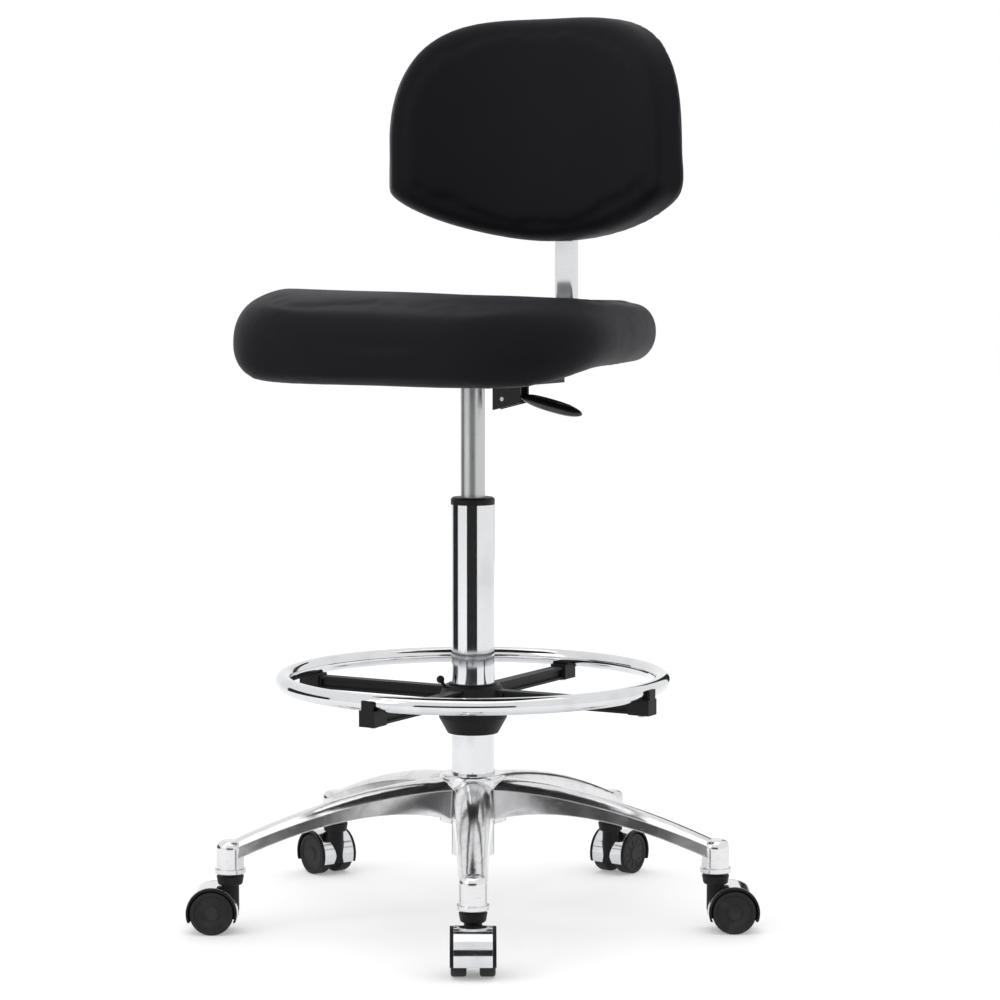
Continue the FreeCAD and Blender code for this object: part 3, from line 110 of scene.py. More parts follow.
# ------------------------------------------------------------------------------ node trees
class Sock:
    """A number or vector socket of a node tree, with arithmetic that adds Math nodes."""

    def __init__(self, tree: "Nodes", socket: bpy.types.NodeSocket) -> None:
        """Wrap an output socket of a tree."""
        self.tree = tree
        self.socket = socket

    def _math(self, operation: str, *values: Any) -> "Sock":
        """Add one Math node.

        Args:
            operation: the Math node's operation.
            values: what goes into its sockets, in order.

        Returns:
            The result, wrapped.
        """
        return self.tree.node("ShaderNodeMath", {"operation": operation}, dict(enumerate(values)))

    def __add__(self, other: Any) -> "Sock":
        """Sum."""
        return self._math("ADD", self, other)

    __radd__ = __add__

    def __mul__(self, other: Any) -> "Sock":
        """Product."""
        return self._math("MULTIPLY", self, other)

    __rmul__ = __mul__

    def __sub__(self, other: Any) -> "Sock":
        """Difference."""
        return self._math("SUBTRACT", self, other)

    def __rsub__(self, other: Any) -> "Sock":
        """Difference from a number."""
        return self._math("SUBTRACT", other, self)

    def __truediv__(self, other: Any) -> "Sock":
        """Quotient."""
        return self._math("DIVIDE", self, other)

    def __rtruediv__(self, other: Any) -> "Sock":
        """Number over this socket."""
        return self._math("DIVIDE", other, self)

    def wave(self) -> "Sock":
        """Sine of the socket, moved to 0..1."""
        return self._math("SINE", self) * 0.5 + 0.5

    def between(self, low: float, high: float, to_low: float = 0.0, to_high: float = 1.0) -> "Sock":
        """Smooth step of the value.

        Args:
            low: value where the step starts.
            high: value where the step ends.
            to_low: result at the start.
            to_high: result at the end.

        Returns:
            The stepped value.
        """
        return self.tree.node(
            "ShaderNodeMapRange",
            {"interpolation_type": "SMOOTHSTEP"},
            {"Value": self, "From Min": low, "From Max": high, "To Min": to_low, "To Max": to_high},
        )


class Nodes:
    """A node tree with one method that adds any node."""

    def __init__(self, tree: bpy.types.NodeTree) -> None:
        """Wrap a tree."""
        self.tree = tree

    def node(
        self, kind: str, settings: dict[str, Any] | None = None, values: dict[Any, Any] | None = None,
        output: str | int = 0,
    ) -> Sock:
        """Add one node, its settings first and then its sockets.

        Args:
            kind: the node's type.
            settings: properties to set.
            values: socket name or number to a value or a Sock.
            output: name or number of the output socket to hand back.

        Returns:
            The chosen output, wrapped.
        """
        made = self.tree.nodes.new(kind)
        for key, value in (settings or {}).items():
            setattr(made, key, value)
        for key, value in (values or {}).items():
            socket = self._pick(made.inputs, key)
            if isinstance(value, Sock):
                self.tree.links.new(value.socket, socket)
            else:
                socket.default_value = value
        found = self._pick(made.outputs, output) if len(made.outputs) else None
        return Sock(self, found)

    @staticmethod
    def _pick(sockets: Any, key: str | int) -> bpy.types.NodeSocket:
        """Find a socket that is in use.

        Args:
            sockets: a node's inputs or outputs.
            key: its name, or its number among those in use.

        Returns:
            The socket.
        """
        shown = [socket for socket in sockets if socket.enabled]
        if isinstance(key, int):
            return shown[key]
        return next(socket for socket in shown if socket.name == key)


class Shade(Nodes):
    """Node tree of one material."""

    def __init__(self, name: str) -> None:
        """Make an empty material of that name."""
        self.material = bpy.data.materials.new(name)
        self.material.use_nodes = True
        super().__init__(self.material.node_tree)
        self.tree.nodes.clear()

    def place(self, stretch: Sequence[float] = (1.0, 1.0, 1.0)) -> Sock:
        """Object coordinates, stretched along the axes.

        Args:
            stretch: factor along x, y and z.

        Returns:
            The coordinates.
        """
        here = self.node("ShaderNodeTexCoord", output="Object")
        return self.node("ShaderNodeMapping", {}, {"Vector": here, "Scale": tuple(stretch)})

    def cloud(
        self, where: Sock, scale: float, detail: float = 3.0, roughness: float = 0.5, warp: float = 0.0
    ) -> Sock:
        """Noise between 0 and 1.

        Args:
            where: coordinates.
            scale: grains per metre.
            detail: octaves.
            roughness: strength of the fine octaves.
            warp: distortion.

        Returns:
            The noise value.
        """
        values = {
            "Vector": where, "Scale": scale, "Detail": detail, "Roughness": roughness, "Distortion": warp,
        }
        return self.node("ShaderNodeTexNoise", {}, values)

    def cells(self, where: Sock, scale: float, feature: str = "F1", output: str = "Distance") -> Sock:
        """Voronoi cells.

        Args:
            where: coordinates.
            scale: cells per metre.
            feature: the Voronoi node's feature.
            output: output to hand back.

        Returns:
            The chosen output.
        """
        return self.node(
            "ShaderNodeTexVoronoi", {"feature": feature}, {"Vector": where, "Scale": scale}, output
        )

    def blend(self, share: Any, first: Any, second: Any) -> Sock:
        """Mix two colours.

        Args:
            share: how much of the second colour, 0 to 1.
            first: colour or socket.
            second: colour or socket.

        Returns:
            The mixed colour.
        """
        pair = [value if isinstance(value, Sock) else (*value, 1.0) for value in (first, second)]
        return self.node(
            "ShaderNodeMix", {"data_type": "RGBA"}, {"Factor": share, "A": pair[0], "B": pair[1]}
        )

    def relief(self, height: Sock, depth: float, strength: float = 1.0, normal: Sock | None = None) -> Sock:
        """Bump from a height between 0 and 1.

        Args:
            height: the height.
            depth: metres between height 0 and 1.
            strength: share of the effect that is kept.
            normal: normal that the bump is added to.

        Returns:
            The bumped normal.
        """
        values: dict[str, Any] = {"Strength": strength, "Distance": depth, "Height": height}
        if normal is not None:
            values["Normal"] = normal
        return self.node("ShaderNodeBump", {}, values)

    def rounded(self, radius: float) -> Sock:
        """Normal that softens sharp edges over a radius in metres."""
        return self.node("ShaderNodeBevel", {"samples": 4}, {"Radius": radius})

    def surface(self, values: dict[str, Any]) -> None:
        """Close the material with a Principled shader.

        Args:
            values: its sockets' values or links.
        """
        shader = self.node("ShaderNodeBsdfPrincipled", {}, values)
        self.node("ShaderNodeOutputMaterial", {}, {"Surface": shader})


# ------------------------------------------------------------------------------ finishes
@dataclass(frozen=True)
class Finish:
    """A surface finish that knows how to build its own material."""

    name: str

    def shade(self, s: Shade) -> None:
        """Add the finish's nodes to a material."""
        raise NotImplementedError

    def material(self) -> bpy.types.Material:
        """Make the material."""
        s = Shade(self.name)
        self.shade(s)
        return s.material


@dataclass(frozen=True)
class BrightMetal(Finish):
    """Polished or chromed metal: faint waves from polishing, a few rub marks, hazy patches."""

    tint: Colour = (0.71, 0.72, 0.735)
    deep: Colour = (0.56, 0.57, 0.59)
    gloss: float = 0.06
    haze: float = 0.17
    wave_scale: float = 22.0
    wave_depth: float = 0.00012
    rub: Sequence[float] = (1.0, 1.0, 9.0)
    edge: float = 0.0

    def shade(self, s: Shade) -> None:
        """Add the finish's nodes to a material."""
        where = s.place()
        patches = s.cloud(where, self.wave_scale, 2.0)
        rubbed = s.cloud(s.place(self.rub), 130.0, 5.0, 0.65, 0.3)
        haze = (patches.between(0.45, 0.75) * 0.5 + rubbed.between(0.52, 0.74) * 0.5)
        fine = s.cloud(s.place(self.rub), 900.0, 2.0)
        normal = s.rounded(self.edge) if self.edge > 0 else None
        wavy = s.relief(patches, self.wave_depth, 0.6, normal)
        s.surface({
            "Base Color": s.blend(haze, self.tint, self.deep),
            "Metallic": 1.0,
            "Roughness": haze * (self.haze - self.gloss) + self.gloss,
            "Normal": s.relief(fine, 0.000004, 0.35, wavy),
        })


@dataclass(frozen=True)
class TurnedSteel(Finish):
    """Ground tube: fine rings round the upright axis, slightly dulled by grease."""

    tint: Colour = (0.56, 0.565, 0.57)
    deep: Colour = (0.42, 0.425, 0.43)
    gloss: float = 0.27
    haze: float = 0.4

    def shade(self, s: Shade) -> None:
        """Add the finish's nodes to a material."""
        rings = s.cloud(s.place((3.0, 3.0, 900.0)), 3.0, 4.0, 0.7)
        film = s.cloud(s.place((1.0, 1.0, 0.35)), 35.0, 4.0, 0.6)
        dull = rings.between(0.35, 0.7) * 0.55 + film.between(0.4, 0.75) * 0.45
        s.surface({
            "Base Color": s.blend(dull, self.tint, self.deep),
            "Metallic": 1.0,
            "Roughness": dull * (self.haze - self.gloss) + self.gloss,
            "Normal": s.relief(rings, 0.00001, 0.5),
        })


@dataclass(frozen=True)
class ZincSteel(Finish):
    """Zinc-plated hardware: small crystals, dull spots."""

    tint: Colour = (0.60, 0.61, 0.62)
    deep: Colour = (0.42, 0.43, 0.45)

    def shade(self, s: Shade) -> None:
        """Add the finish's nodes to a material."""
        where = s.place()
        crystal = s.cells(where, 420.0)
        stain = s.cloud(where, 90.0, 4.0, 0.6)
        mix = crystal.between(0.1, 0.8) * 0.4 + stain.between(0.4, 0.7) * 0.6
        s.surface({
            "Base Color": s.blend(mix, self.tint, self.deep),
            "Metallic": 1.0,
            "Roughness": mix * 0.22 + 0.26,
            "Normal": s.relief(stain, 0.00004, 0.4, s.rounded(0.0003)),
        })


@dataclass(frozen=True)
class DarkPaint(Finish):
    """Stove paint on pressed steel: orange peel, thin dust, a little rubbed sheen."""

    tint: Colour = (0.014, 0.014, 0.015)
    dust: Colour = (0.05, 0.05, 0.052)

    def shade(self, s: Shade) -> None:
        """Add the finish's nodes to a material."""
        where = s.place()
        peel = s.cloud(where, 620.0, 2.0, 0.5)
        settled = s.cloud(where, 40.0, 6.0, 0.65, 0.4).between(0.5, 0.8)
        s.surface({
            "Base Color": s.blend(settled * 0.45, self.tint, self.dust),
            "Roughness": peel.between(0.3, 0.7) * 0.08 + settled * 0.18 + 0.34,
            "Specular IOR Level": 0.25,
            "Normal": s.relief(peel, 0.00006, 0.6, s.rounded(0.0006)),
        })


@dataclass(frozen=True)
class Moulded(Finish):
    """Moulded plastic or rubber: spark-eroded grain, scuffs and a trace of dust."""

    tint: Colour = (0.0055, 0.0055, 0.006)
    worn: Colour = (0.03, 0.03, 0.031)
    rough: float = 0.44
    dull: float = 0.18
    shine: float = 0.2
    grain: float = 1500.0
    grain_depth: float = 0.00003
    scuff: float = 0.3
    edge: float = 0.0005
    coat: float = 0.0

    def shade(self, s: Shade) -> None:
        """Add the finish's nodes to a material."""
        where = s.place()
        grain = s.cloud(where, self.grain, 3.0, 0.6)
        patch = s.cloud(where, 28.0, 5.0, 0.6, 0.6).between(0.46, 0.78)
        scratch = s.cloud(s.place((1.0, 7.0, 2.0)), 160.0, 6.0, 0.7, 0.8).between(0.56, 0.72)
        wear = patch * (scratch * 0.7 + 0.3)
        s.surface({
            "Base Color": s.blend(wear * self.scuff, self.tint, self.worn),
            "Roughness": wear * self.dull + grain.between(0.3, 0.7) * 0.06 + self.rough,
            "Specular IOR Level": self.shine,
            "Coat Weight": self.coat,
            "Coat Roughness": 0.12,
            "Normal": s.relief(grain, self.grain_depth, 0.7, s.rounded(self.edge)),
        })


@dataclass(frozen=True)
class Plywood(Finish):
    """Birch plywood: long grain on the faces, alternating plies on the edges."""

    through: Axis = Axis.Z
    ply: float = 1.6 * MM
    light: Colour = (0.58, 0.41, 0.24)
    dark: Colour = (0.33, 0.20, 0.10)

    def shade(self, s: Shade) -> None:
        """Add the finish's nodes to a material."""
        grain = s.cloud(s.place((2.0, 30.0, 30.0)), 22.0, 6.0, 0.65, 0.5)
        pore = s.cloud(s.place((8.0, 120.0, 120.0)), 14.0, 2.0)
        where = s.node("ShaderNodeTexCoord", output="Object")
        depth = s.node(
            "ShaderNodeVectorMath", {"operation": "DOT_PRODUCT"}, {0: where, 1: self.through.value}, "Value"
        )
        plies = (depth * (math.pi / self.ply)).wave()
        tone = grain.between(0.3, 0.75) * 0.6 + plies.between(0.35, 0.65) * 0.4
        s.surface({
            "Base Color": s.blend(tone, self.light, self.dark),
            "Roughness": grain * 0.2 + 0.55,
            "Normal": s.relief(pore, 0.00012, 0.6),
        })


@dataclass(frozen=True)
class Vinyl(Finish):
    """Upholstery vinyl: pebbled grain with pores, slow changes of sheen where it is stretched; painted shade
    keeps the grain's creases darker than the pebble tops, on top of random stretched and rubbed tone.
    """

    tint: Colour = (0.0026, 0.0026, 0.0042)
    # raised: lighter colour of the pebble tops and rubbed patches; the creases between pebbles keep the
    # darker tint as painted shade.
    raised: Colour = (0.0052, 0.0052, 0.0080)
    rough: float = 0.48
    shine: float = 0.10
    pebble: float = 700.0
    pebble_depth: float = 0.00016

    def shade(self, s: Shade) -> None:
        """Add the finish's nodes to a material."""
        where = s.place()
        bent = s.cloud(where, 260.0, 2.0)
        # Crease masks: 0 on the grain's crease lines, 1 on the pebbles; they set the bump and also paint
        # shade into the creases.
        crease_relief_and_painted_shade = s.cells(where, self.pebble, "DISTANCE_TO_EDGE").between(0.0, 0.16)
        small = s.cells(where, self.pebble * 2.3, "DISTANCE_TO_EDGE").between(0.0, 0.2)
        grain_relief_and_painted_shade = crease_relief_and_painted_shade * 0.6 + small * 0.15 + bent * 0.25
        pull = s.cloud(where, 9.0, 3.0, 0.5, 0.4).between(0.3, 0.72)
        rubbed = s.cloud(where, 55.0, 5.0, 0.6).between(0.45, 0.8)
        # Colour: painted shade darkens the grain's creases; the stretched and rubbed patches are random
        # tone.
        tone = grain_relief_and_painted_shade * 0.6 + pull * 0.25 + rubbed * 0.15
        s.surface({
            "Base Color": s.blend(tone, self.tint, self.raised),
            "Roughness": self.rough + pull * 0.07 - grain_relief_and_painted_shade * 0.05 + rubbed * 0.05,
            "Specular IOR Level": self.shine,
            "Sheen Weight": 0.02,
            "Sheen Roughness": 0.5,
            "Sheen Tint": (0.8, 0.86, 1.0, 1.0),
            "Normal": s.relief(grain_relief_and_painted_shade, self.pebble_depth, 0.55),
        })


@dataclass(frozen=True)
class StudioFloor(Finish):
    """Matt white sweep, lit through from below: paper tooth and very faint cloudiness."""

    tint: Colour = (0.80, 0.80, 0.80)
    deep: Colour = (0.78, 0.78, 0.785)
    glow: float = 0.25

    def shade(self, s: Shade) -> None:
        """Add the finish's nodes to a material."""
        where = s.place()
        tooth = s.cloud(where, 800.0, 2.0)
        s.surface({
            "Base Color": s.blend(s.cloud(where, 1.3, 3.0), self.tint, self.deep),
            "Roughness": tooth * 0.1 + 0.82,
            "Specular IOR Level": 0.1,
            "Emission Color": (1.0, 1.0, 1.0, 1.0),
            "Emission Strength": self.glow,
            "Normal": s.relief(tooth, 0.0001, 0.2),
        })


@dataclass
class Wardrobe:
    """Every finish of the chair by its material slot, with the few nodes that differ."""

    finishes: dict[Slot, Finish] = field(default_factory=lambda: {
        Slot.ALUMINIUM: BrightMetal(
            "polished_aluminium", (0.74, 0.74, 0.75), (0.54, 0.54, 0.55), 0.14, 0.27, 26.0, 0.0004,
            (1.0, 1.0, 3.0), 1.6 * MM,
        ),
        Slot.CHROME_TUBE: BrightMetal("chrome_tube"),
        Slot.CHROME_PLATE: BrightMetal("chrome_plate", gloss=0.09, haze=0.2, edge=0.4 * MM),
        Slot.SATIN_STEEL: TurnedSteel("satin_steel"),
        Slot.ZINC_STEEL: ZincSteel("zinc_steel"),
        Slot.DARK_PAINT: DarkPaint("dark_paint"),
        Slot.NYLON: Moulded("black_nylon"),
        Slot.PLASTIC: Moulded("black_plastic", rough=0.5, grain=900.0, grain_depth=0.00008, edge=0.9 * MM),
        Slot.GLOSS_PLASTIC: Moulded(
            "gloss_black_plastic", rough=0.2, dull=0.2, shine=0.45, grain_depth=0.000008,
            scuff=0.15, coat=0.25,
        ),
        Slot.WHEEL: Moulded(
            "wheel_nylon", (0.014, 0.014, 0.015), (0.075, 0.075, 0.077), 0.48, 0.22, 0.2, scuff=0.9,
        ),
        Slot.RUBBER: Moulded(
            "black_rubber", (0.01, 0.01, 0.01), (0.045, 0.045, 0.044), 0.68, 0.15, 0.15, 700.0, 0.00006, 0.6,
        ),
        Slot.PLYWOOD: Plywood("plywood"),
        Slot.VINYL: Vinyl("black_vinyl"),
    })
    by_node: dict[str, Finish] = field(default_factory=lambda: {
        "back_board": Plywood("plywood_upright", Axis.Y),
    })

    def __post_init__(self) -> None:
        """Build each material once."""
        self.made = {slot: finish.material() for slot, finish in self.finishes.items()}
        self.special = {node: finish.material() for node, finish in self.by_node.items()}

    def dress(self, frame: dict[str, Any]) -> None:
        """Give every hard node its finish.
        """
        for part in frame["record"]["subparts"]:
            node = part["node"]
            material = self.special.get(node, self.made[Slot(part["material_slot"])])
            for slot in frame["nodes"][node].material_slots:
                slot.link = "OBJECT"
                slot.material = material
            log.info("%s dressed in %s", node, material.name)


# ------------------------------------------------------------------------------ mesh helpers
def centre(node: str) -> Vector:
    """Middle of a node's box."""
    low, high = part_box(node)
    return (Vector(low) + Vector(high)) / 2


def new_object(name: str, mesh: bpy.types.Mesh) -> bpy.types.Object:
    """Put a mesh into the scene as an object at the origin.

    Args:
        name: the object's name.
        mesh: its mesh.

    Returns:
        The object.
    """
    made = bpy.data.objects.new(name, mesh)
    bpy.context.scene.collection.objects.link(made)
    return made


def settle(piece: bpy.types.Object) -> None:
    """Turn a piece's modifiers into plain mesh.

    Args:
        piece: the object, whose modifiers are then removed.
    """
    bpy.context.view_layer.update()
    graph = bpy.context.evaluated_depsgraph_get()
    result = bpy.data.meshes.new_from_object(piece.evaluated_get(graph), depsgraph=graph)
    piece.modifiers.clear()
    old = piece.data
    piece.data = result
    result.name = piece.name
    bpy.data.meshes.remove(old)


def smooth(piece: bpy.types.Object) -> None:
    """Shade every face of a piece smooth."""
    piece.data.polygons.foreach_set("use_smooth", [True] * len(piece.data.polygons))
    piece.data.update()


def soften(piece: bpy.types.Object, passes: int) -> None:
    """Even out a mesh by moving each vertex halfway to the middle of its neighbours.

    Args:
        piece: the object.
        passes: how many times.
    """
    mesh = bmesh.new()
    mesh.from_mesh(piece.data)
    for _ in range(passes):
        bmesh.ops.smooth_vert(
            mesh, verts=mesh.verts, factor=0.5, use_axis_x=True, use_axis_y=True, use_axis_z=True
        )
    mesh.to_mesh(piece.data)
    mesh.free()
    piece.data.update()


# ------------------------------------------------------------------------------ padding
@dataclass
class Padding:
    """Foam under stretched vinyl: swollen by a cloth simulation over the board it is fixed to."""

    name: str
    node: str
    body: str
    fixed_to: tuple[str, ...]
    fill: float = 0.9
    voxel: float = 5.0 * MM
    passes: int = 4
    grip: float = 3.0 * MM
    ease: float = 22.0 * MM
    shrink: float = 4.0 * MM
    swell: float = 6.5 * MM
    proud: float = 2.0 * MM
    sunk: float = 1.2 * MM
    pressure: float = 4.0
    frames: int = 20
    cloth_mass: float = 0.35
    stretch: float = 18.0
    shear: float = 8.0
    bending: float = 2.0
    air: float = 3.0
    least_hold: float = 0.02
    weld: float = 0.02 * MM
    ripple: float = 0.9 * MM
    ripple_size: float = 85.0 * MM

    def build(self, frame: dict[str, Any], wardrobe: Wardrobe) -> bpy.types.Object:
        """Args:
            wardrobe: the chair's materials.

        Returns:
            The finished padding.
        """
        piece, foam = self._foam(frame)
        self._fit(piece, foam)
        hold = self._hold(piece, frame)
        self._offset(piece, hold, -self.shrink)
        self._inflate(piece, hold)
        self._trim(piece, foam)
        self._even(piece, hold)
        piece.data.materials.clear()
        piece.data.materials.append(wardrobe.made[Slot.VINYL])
        finer = piece.modifiers.new("finer", "SUBSURF")
        finer.levels = 1
        finer.render_levels = 1
        smooth(piece)
        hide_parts(self.node)
        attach(piece, self.body)
        log.info("%s: %d vertices before subdivision", self.name, len(piece.data.vertices))
        return piece

    def _foam(self, frame: dict[str, Any]) -> tuple[bpy.types.Object, BVHTree]:
        """Copy the padding solid and remesh it evenly.


        Returns:
            The remeshed copy, and the solid's own surface to measure from.
        """
        piece = new_object(self.name, frame["nodes"][self.node].data.copy())
        mesh = bmesh.new()
        mesh.from_mesh(piece.data)
        bmesh.ops.remove_doubles(mesh, verts=mesh.verts, dist=self.weld)
        bmesh.ops.recalc_face_normals(mesh, faces=mesh.faces)
        surface = BVHTree.FromBMesh(mesh)
        mesh.to_mesh(piece.data)
        mesh.free()
        even = piece.modifiers.new("even", "REMESH")
        even.mode = "VOXEL"
        even.voxel_size = self.voxel
        settle(piece)
        return piece, surface

    def _fit(self, piece: bpy.types.Object, foam: BVHTree) -> None:
        """Take the steps out of the remesh and lay it back on the foam's own surface.

        Args:
            piece: the padding.
            foam: the solid's surface.
        """
        for _ in range(self.passes):
            soften(piece, 3)
            for vertex in piece.data.vertices:
                vertex.co = foam.find_nearest(vertex.co)[0]
            piece.data.update()

    def _trim(self, piece: bpy.types.Object, foam: BVHTree) -> None:
        """Bring back what swelled or sank too far from the foam's own surface.

        Args:
            piece: the padding.
            foam: the solid's surface.
        """
        for vertex in piece.data.vertices:
            near, normal, _, away = foam.find_nearest(vertex.co)
            side = 1.0 if (vertex.co - near).dot(normal) > 0 else -1.0
            kept = max(-self.sunk, min(self.proud, side * away))
            vertex.co = near + normal * kept
        piece.data.update()

    def _hold(self, piece: bpy.types.Object, frame: dict[str, Any]) -> list[float]:
        """How firmly each vertex is held by the board and cover.

        Args:
            piece: the padding.

        Returns:
            One share per vertex: 1 on the board, 0 where the padding is free.
        """
        trees = []
        for node in self.fixed_to:
            data = frame["nodes"][node].data
            corners = [vertex.co.copy() for vertex in data.vertices]
            trees.append(BVHTree.FromPolygons(corners, [tuple(face.vertices) for face in data.polygons]))
        hold = []
        for vertex in piece.data.vertices:
            near = min((tree.find_nearest(vertex.co)[3] for tree in trees))
            hold.append(max(0.0, min(1.0, 1.0 - (near - self.grip) / self.ease)))
        return hold

    @staticmethod
    def _offset(piece: bpy.types.Object, hold: Sequence[float], distance: float) -> None:
        """Move the free surface along its normals.

        Args:
            piece: the padding.
            hold: how firmly each vertex is held.
            distance: metres outwards.
        """
        vertices = piece.data.vertices
        moves = [vertex.normal * (distance * (1.0 - share)) for vertex, share in zip(vertices, hold)]
        for vertex, move in zip(vertices, moves):
            vertex.co += move
        piece.data.update()

    def _inflate(self, piece: bpy.types.Object, hold: Sequence[float]) -> None:
        """Run the cloth simulation and keep its result within the swell limit.

        Args:
            piece: the padding.
            hold: how firmly each vertex is held.
        """
        start = [vertex.co.copy() for vertex in piece.data.vertices]
        group = piece.vertex_groups.new(name="board")
        for index, share in enumerate(hold):
            if share > self.least_hold:
                group.add([index], share, "REPLACE")
        cloth = piece.modifiers.new("skin", "CLOTH")
        skin = cloth.settings
        skin.quality = 6
        skin.mass = self.cloth_mass
        skin.tension_stiffness = self.stretch
        skin.compression_stiffness = self.stretch
        skin.shear_stiffness = self.shear
        skin.bending_stiffness = self.bending
        skin.air_damping = self.air
        skin.use_pressure = True
        skin.uniform_pressure_force = self.pressure
        skin.effector_weights.gravity = 0.0
        skin.vertex_group_mass = group.name
        cloth.point_cache.frame_start = 1
        cloth.point_cache.frame_end = self.frames
        scene = bpy.context.scene
        for number in range(1, self.frames + 1):
            scene.frame_set(number)
        settle(piece)
        scene.frame_set(1)
        piece.vertex_groups.clear()
        for vertex, origin in zip(piece.data.vertices, start):
            move = vertex.co - origin
            if move.length > self.swell:
                vertex.co = origin + move.normalized() * self.swell
        piece.data.update()

    def _even(self, piece: bpy.types.Object, hold: Sequence[float]) -> None:
        """Smooth the skin and add the slow unevenness of hand upholstery.

        Args:
            piece: the padding.
            hold: how firmly each vertex is held.
        """
        soften(piece, 2)
        for vertex, share in zip(piece.data.vertices, hold):
            lift = noise.noise(vertex.co / self.ripple_size) * self.ripple * (1.0 - share)
            vertex.co += vertex.normal * lift
        piece.data.update()


# ------------------------------------------------------------------------------ small fittings
@dataclass
class Spread:
    """Geometry Nodes tree that puts copies of a small shape at points, then places the set."""

    name: str
    material: bpy.types.Material
    inputs: dict[str, Any] = field(default_factory=dict)

    def __post_init__(self) -> None:
        """Make the tree with its named inputs."""
        self.group = bpy.data.node_groups.new(self.name + "_tree", "GeometryNodeTree")
        kinds = {int: "NodeSocketInt", float: "NodeSocketFloat", Vector: "NodeSocketVector"}
        face = self.group.interface
        face.new_socket("Geometry", in_out="INPUT", socket_type="NodeSocketGeometry")
        for label, value in self.inputs.items():
            face.new_socket(label, in_out="INPUT", socket_type=kinds[type(value)])
        face.new_socket("Geometry", in_out="OUTPUT", socket_type="NodeSocketGeometry")
        self.nodes = Nodes(self.group)
        self.entry = self.group.nodes.new("NodeGroupInput")

    def given(self, label: str) -> Sock:
        """One of the tree's inputs."""
        return Sock(self.nodes, self.entry.outputs[label])

    def close(self, copies: Sock) -> bpy.types.Object:
        """Place the copies, make them real, and turn the result into a plain mesh.

        Args:
            copies: the instances.

        Returns:
            The finished object.
        """
        real = self.nodes.node("GeometryNodeRealizeInstances", {}, {"Geometry": copies})
        placed = self.nodes.node(
            "GeometryNodeTransform", {},
            {"Geometry": real, "Translation": self.given("Centre"), "Rotation": self.given("Turn")},
        )
        soft = self.nodes.node("GeometryNodeSetShadeSmooth", {}, {"Geometry": placed, "Shade Smooth": False})
        coated = self.nodes.node(
            "GeometryNodeSetMaterial", {}, {"Geometry": soft, "Material": self.material}
        )
        self.nodes.node("NodeGroupOutput", {}, {"Geometry": coated})
        piece = new_object(self.name, bpy.data.meshes.new(self.name))
        maker = piece.modifiers.new("maker", "NODES")
        maker.node_group = self.group
        for item in self.group.interface.items_tree:
            if item.in_out == "INPUT" and item.name in self.inputs:
                value = self.inputs[item.name]
                maker[item.identifier] = tuple(value) if isinstance(value, Vector) else value
        settle(piece)
        return piece


@dataclass
class RibRing:
    """Low rounded ribs standing like rays on a flat face."""

    name: str
    body: str
    slot: Slot
    middle: Vector
    axis: Vector
    count: int
    radius: float
    length: float
    width: float
    height: float

    def build(self, wardrobe: Wardrobe) -> bpy.types.Object:
        """Make the ribs and fix them to their body.

        Args:
            wardrobe: the chair's materials.

        Returns:
            The ribs as one mesh.
        """
        turn = self.axis.to_track_quat("Z", "Y").to_euler()
        spread = Spread(self.name, wardrobe.made[self.slot], {
            "Count": self.count, "Radius": self.radius,
            "Rib": Vector((self.length / 2, self.width / 2, self.height)),
            "Centre": self.middle, "Turn": Vector(turn),
        })
        nodes = spread.nodes
        ring = nodes.node("GeometryNodeMeshCircle", {}, {
            "Vertices": spread.given("Count"), "Radius": spread.given("Radius"),
        })
        rib = nodes.node("GeometryNodeMeshIcoSphere", {}, {"Radius": 1.0, "Subdivisions": 2})
        index = nodes.node("GeometryNodeInputIndex")
        angle = index * (2 * math.pi) / spread.given("Count")
        facing = nodes.node("ShaderNodeCombineXYZ", {}, {"Z": angle})
        copies = nodes.node("GeometryNodeInstanceOnPoints", {}, {
            "Points": ring, "Instance": rib, "Rotation": facing, "Scale": spread.given("Rib"),
        })
        piece = spread.close(copies)
        smooth(piece)
        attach(piece, self.body)
        return piece


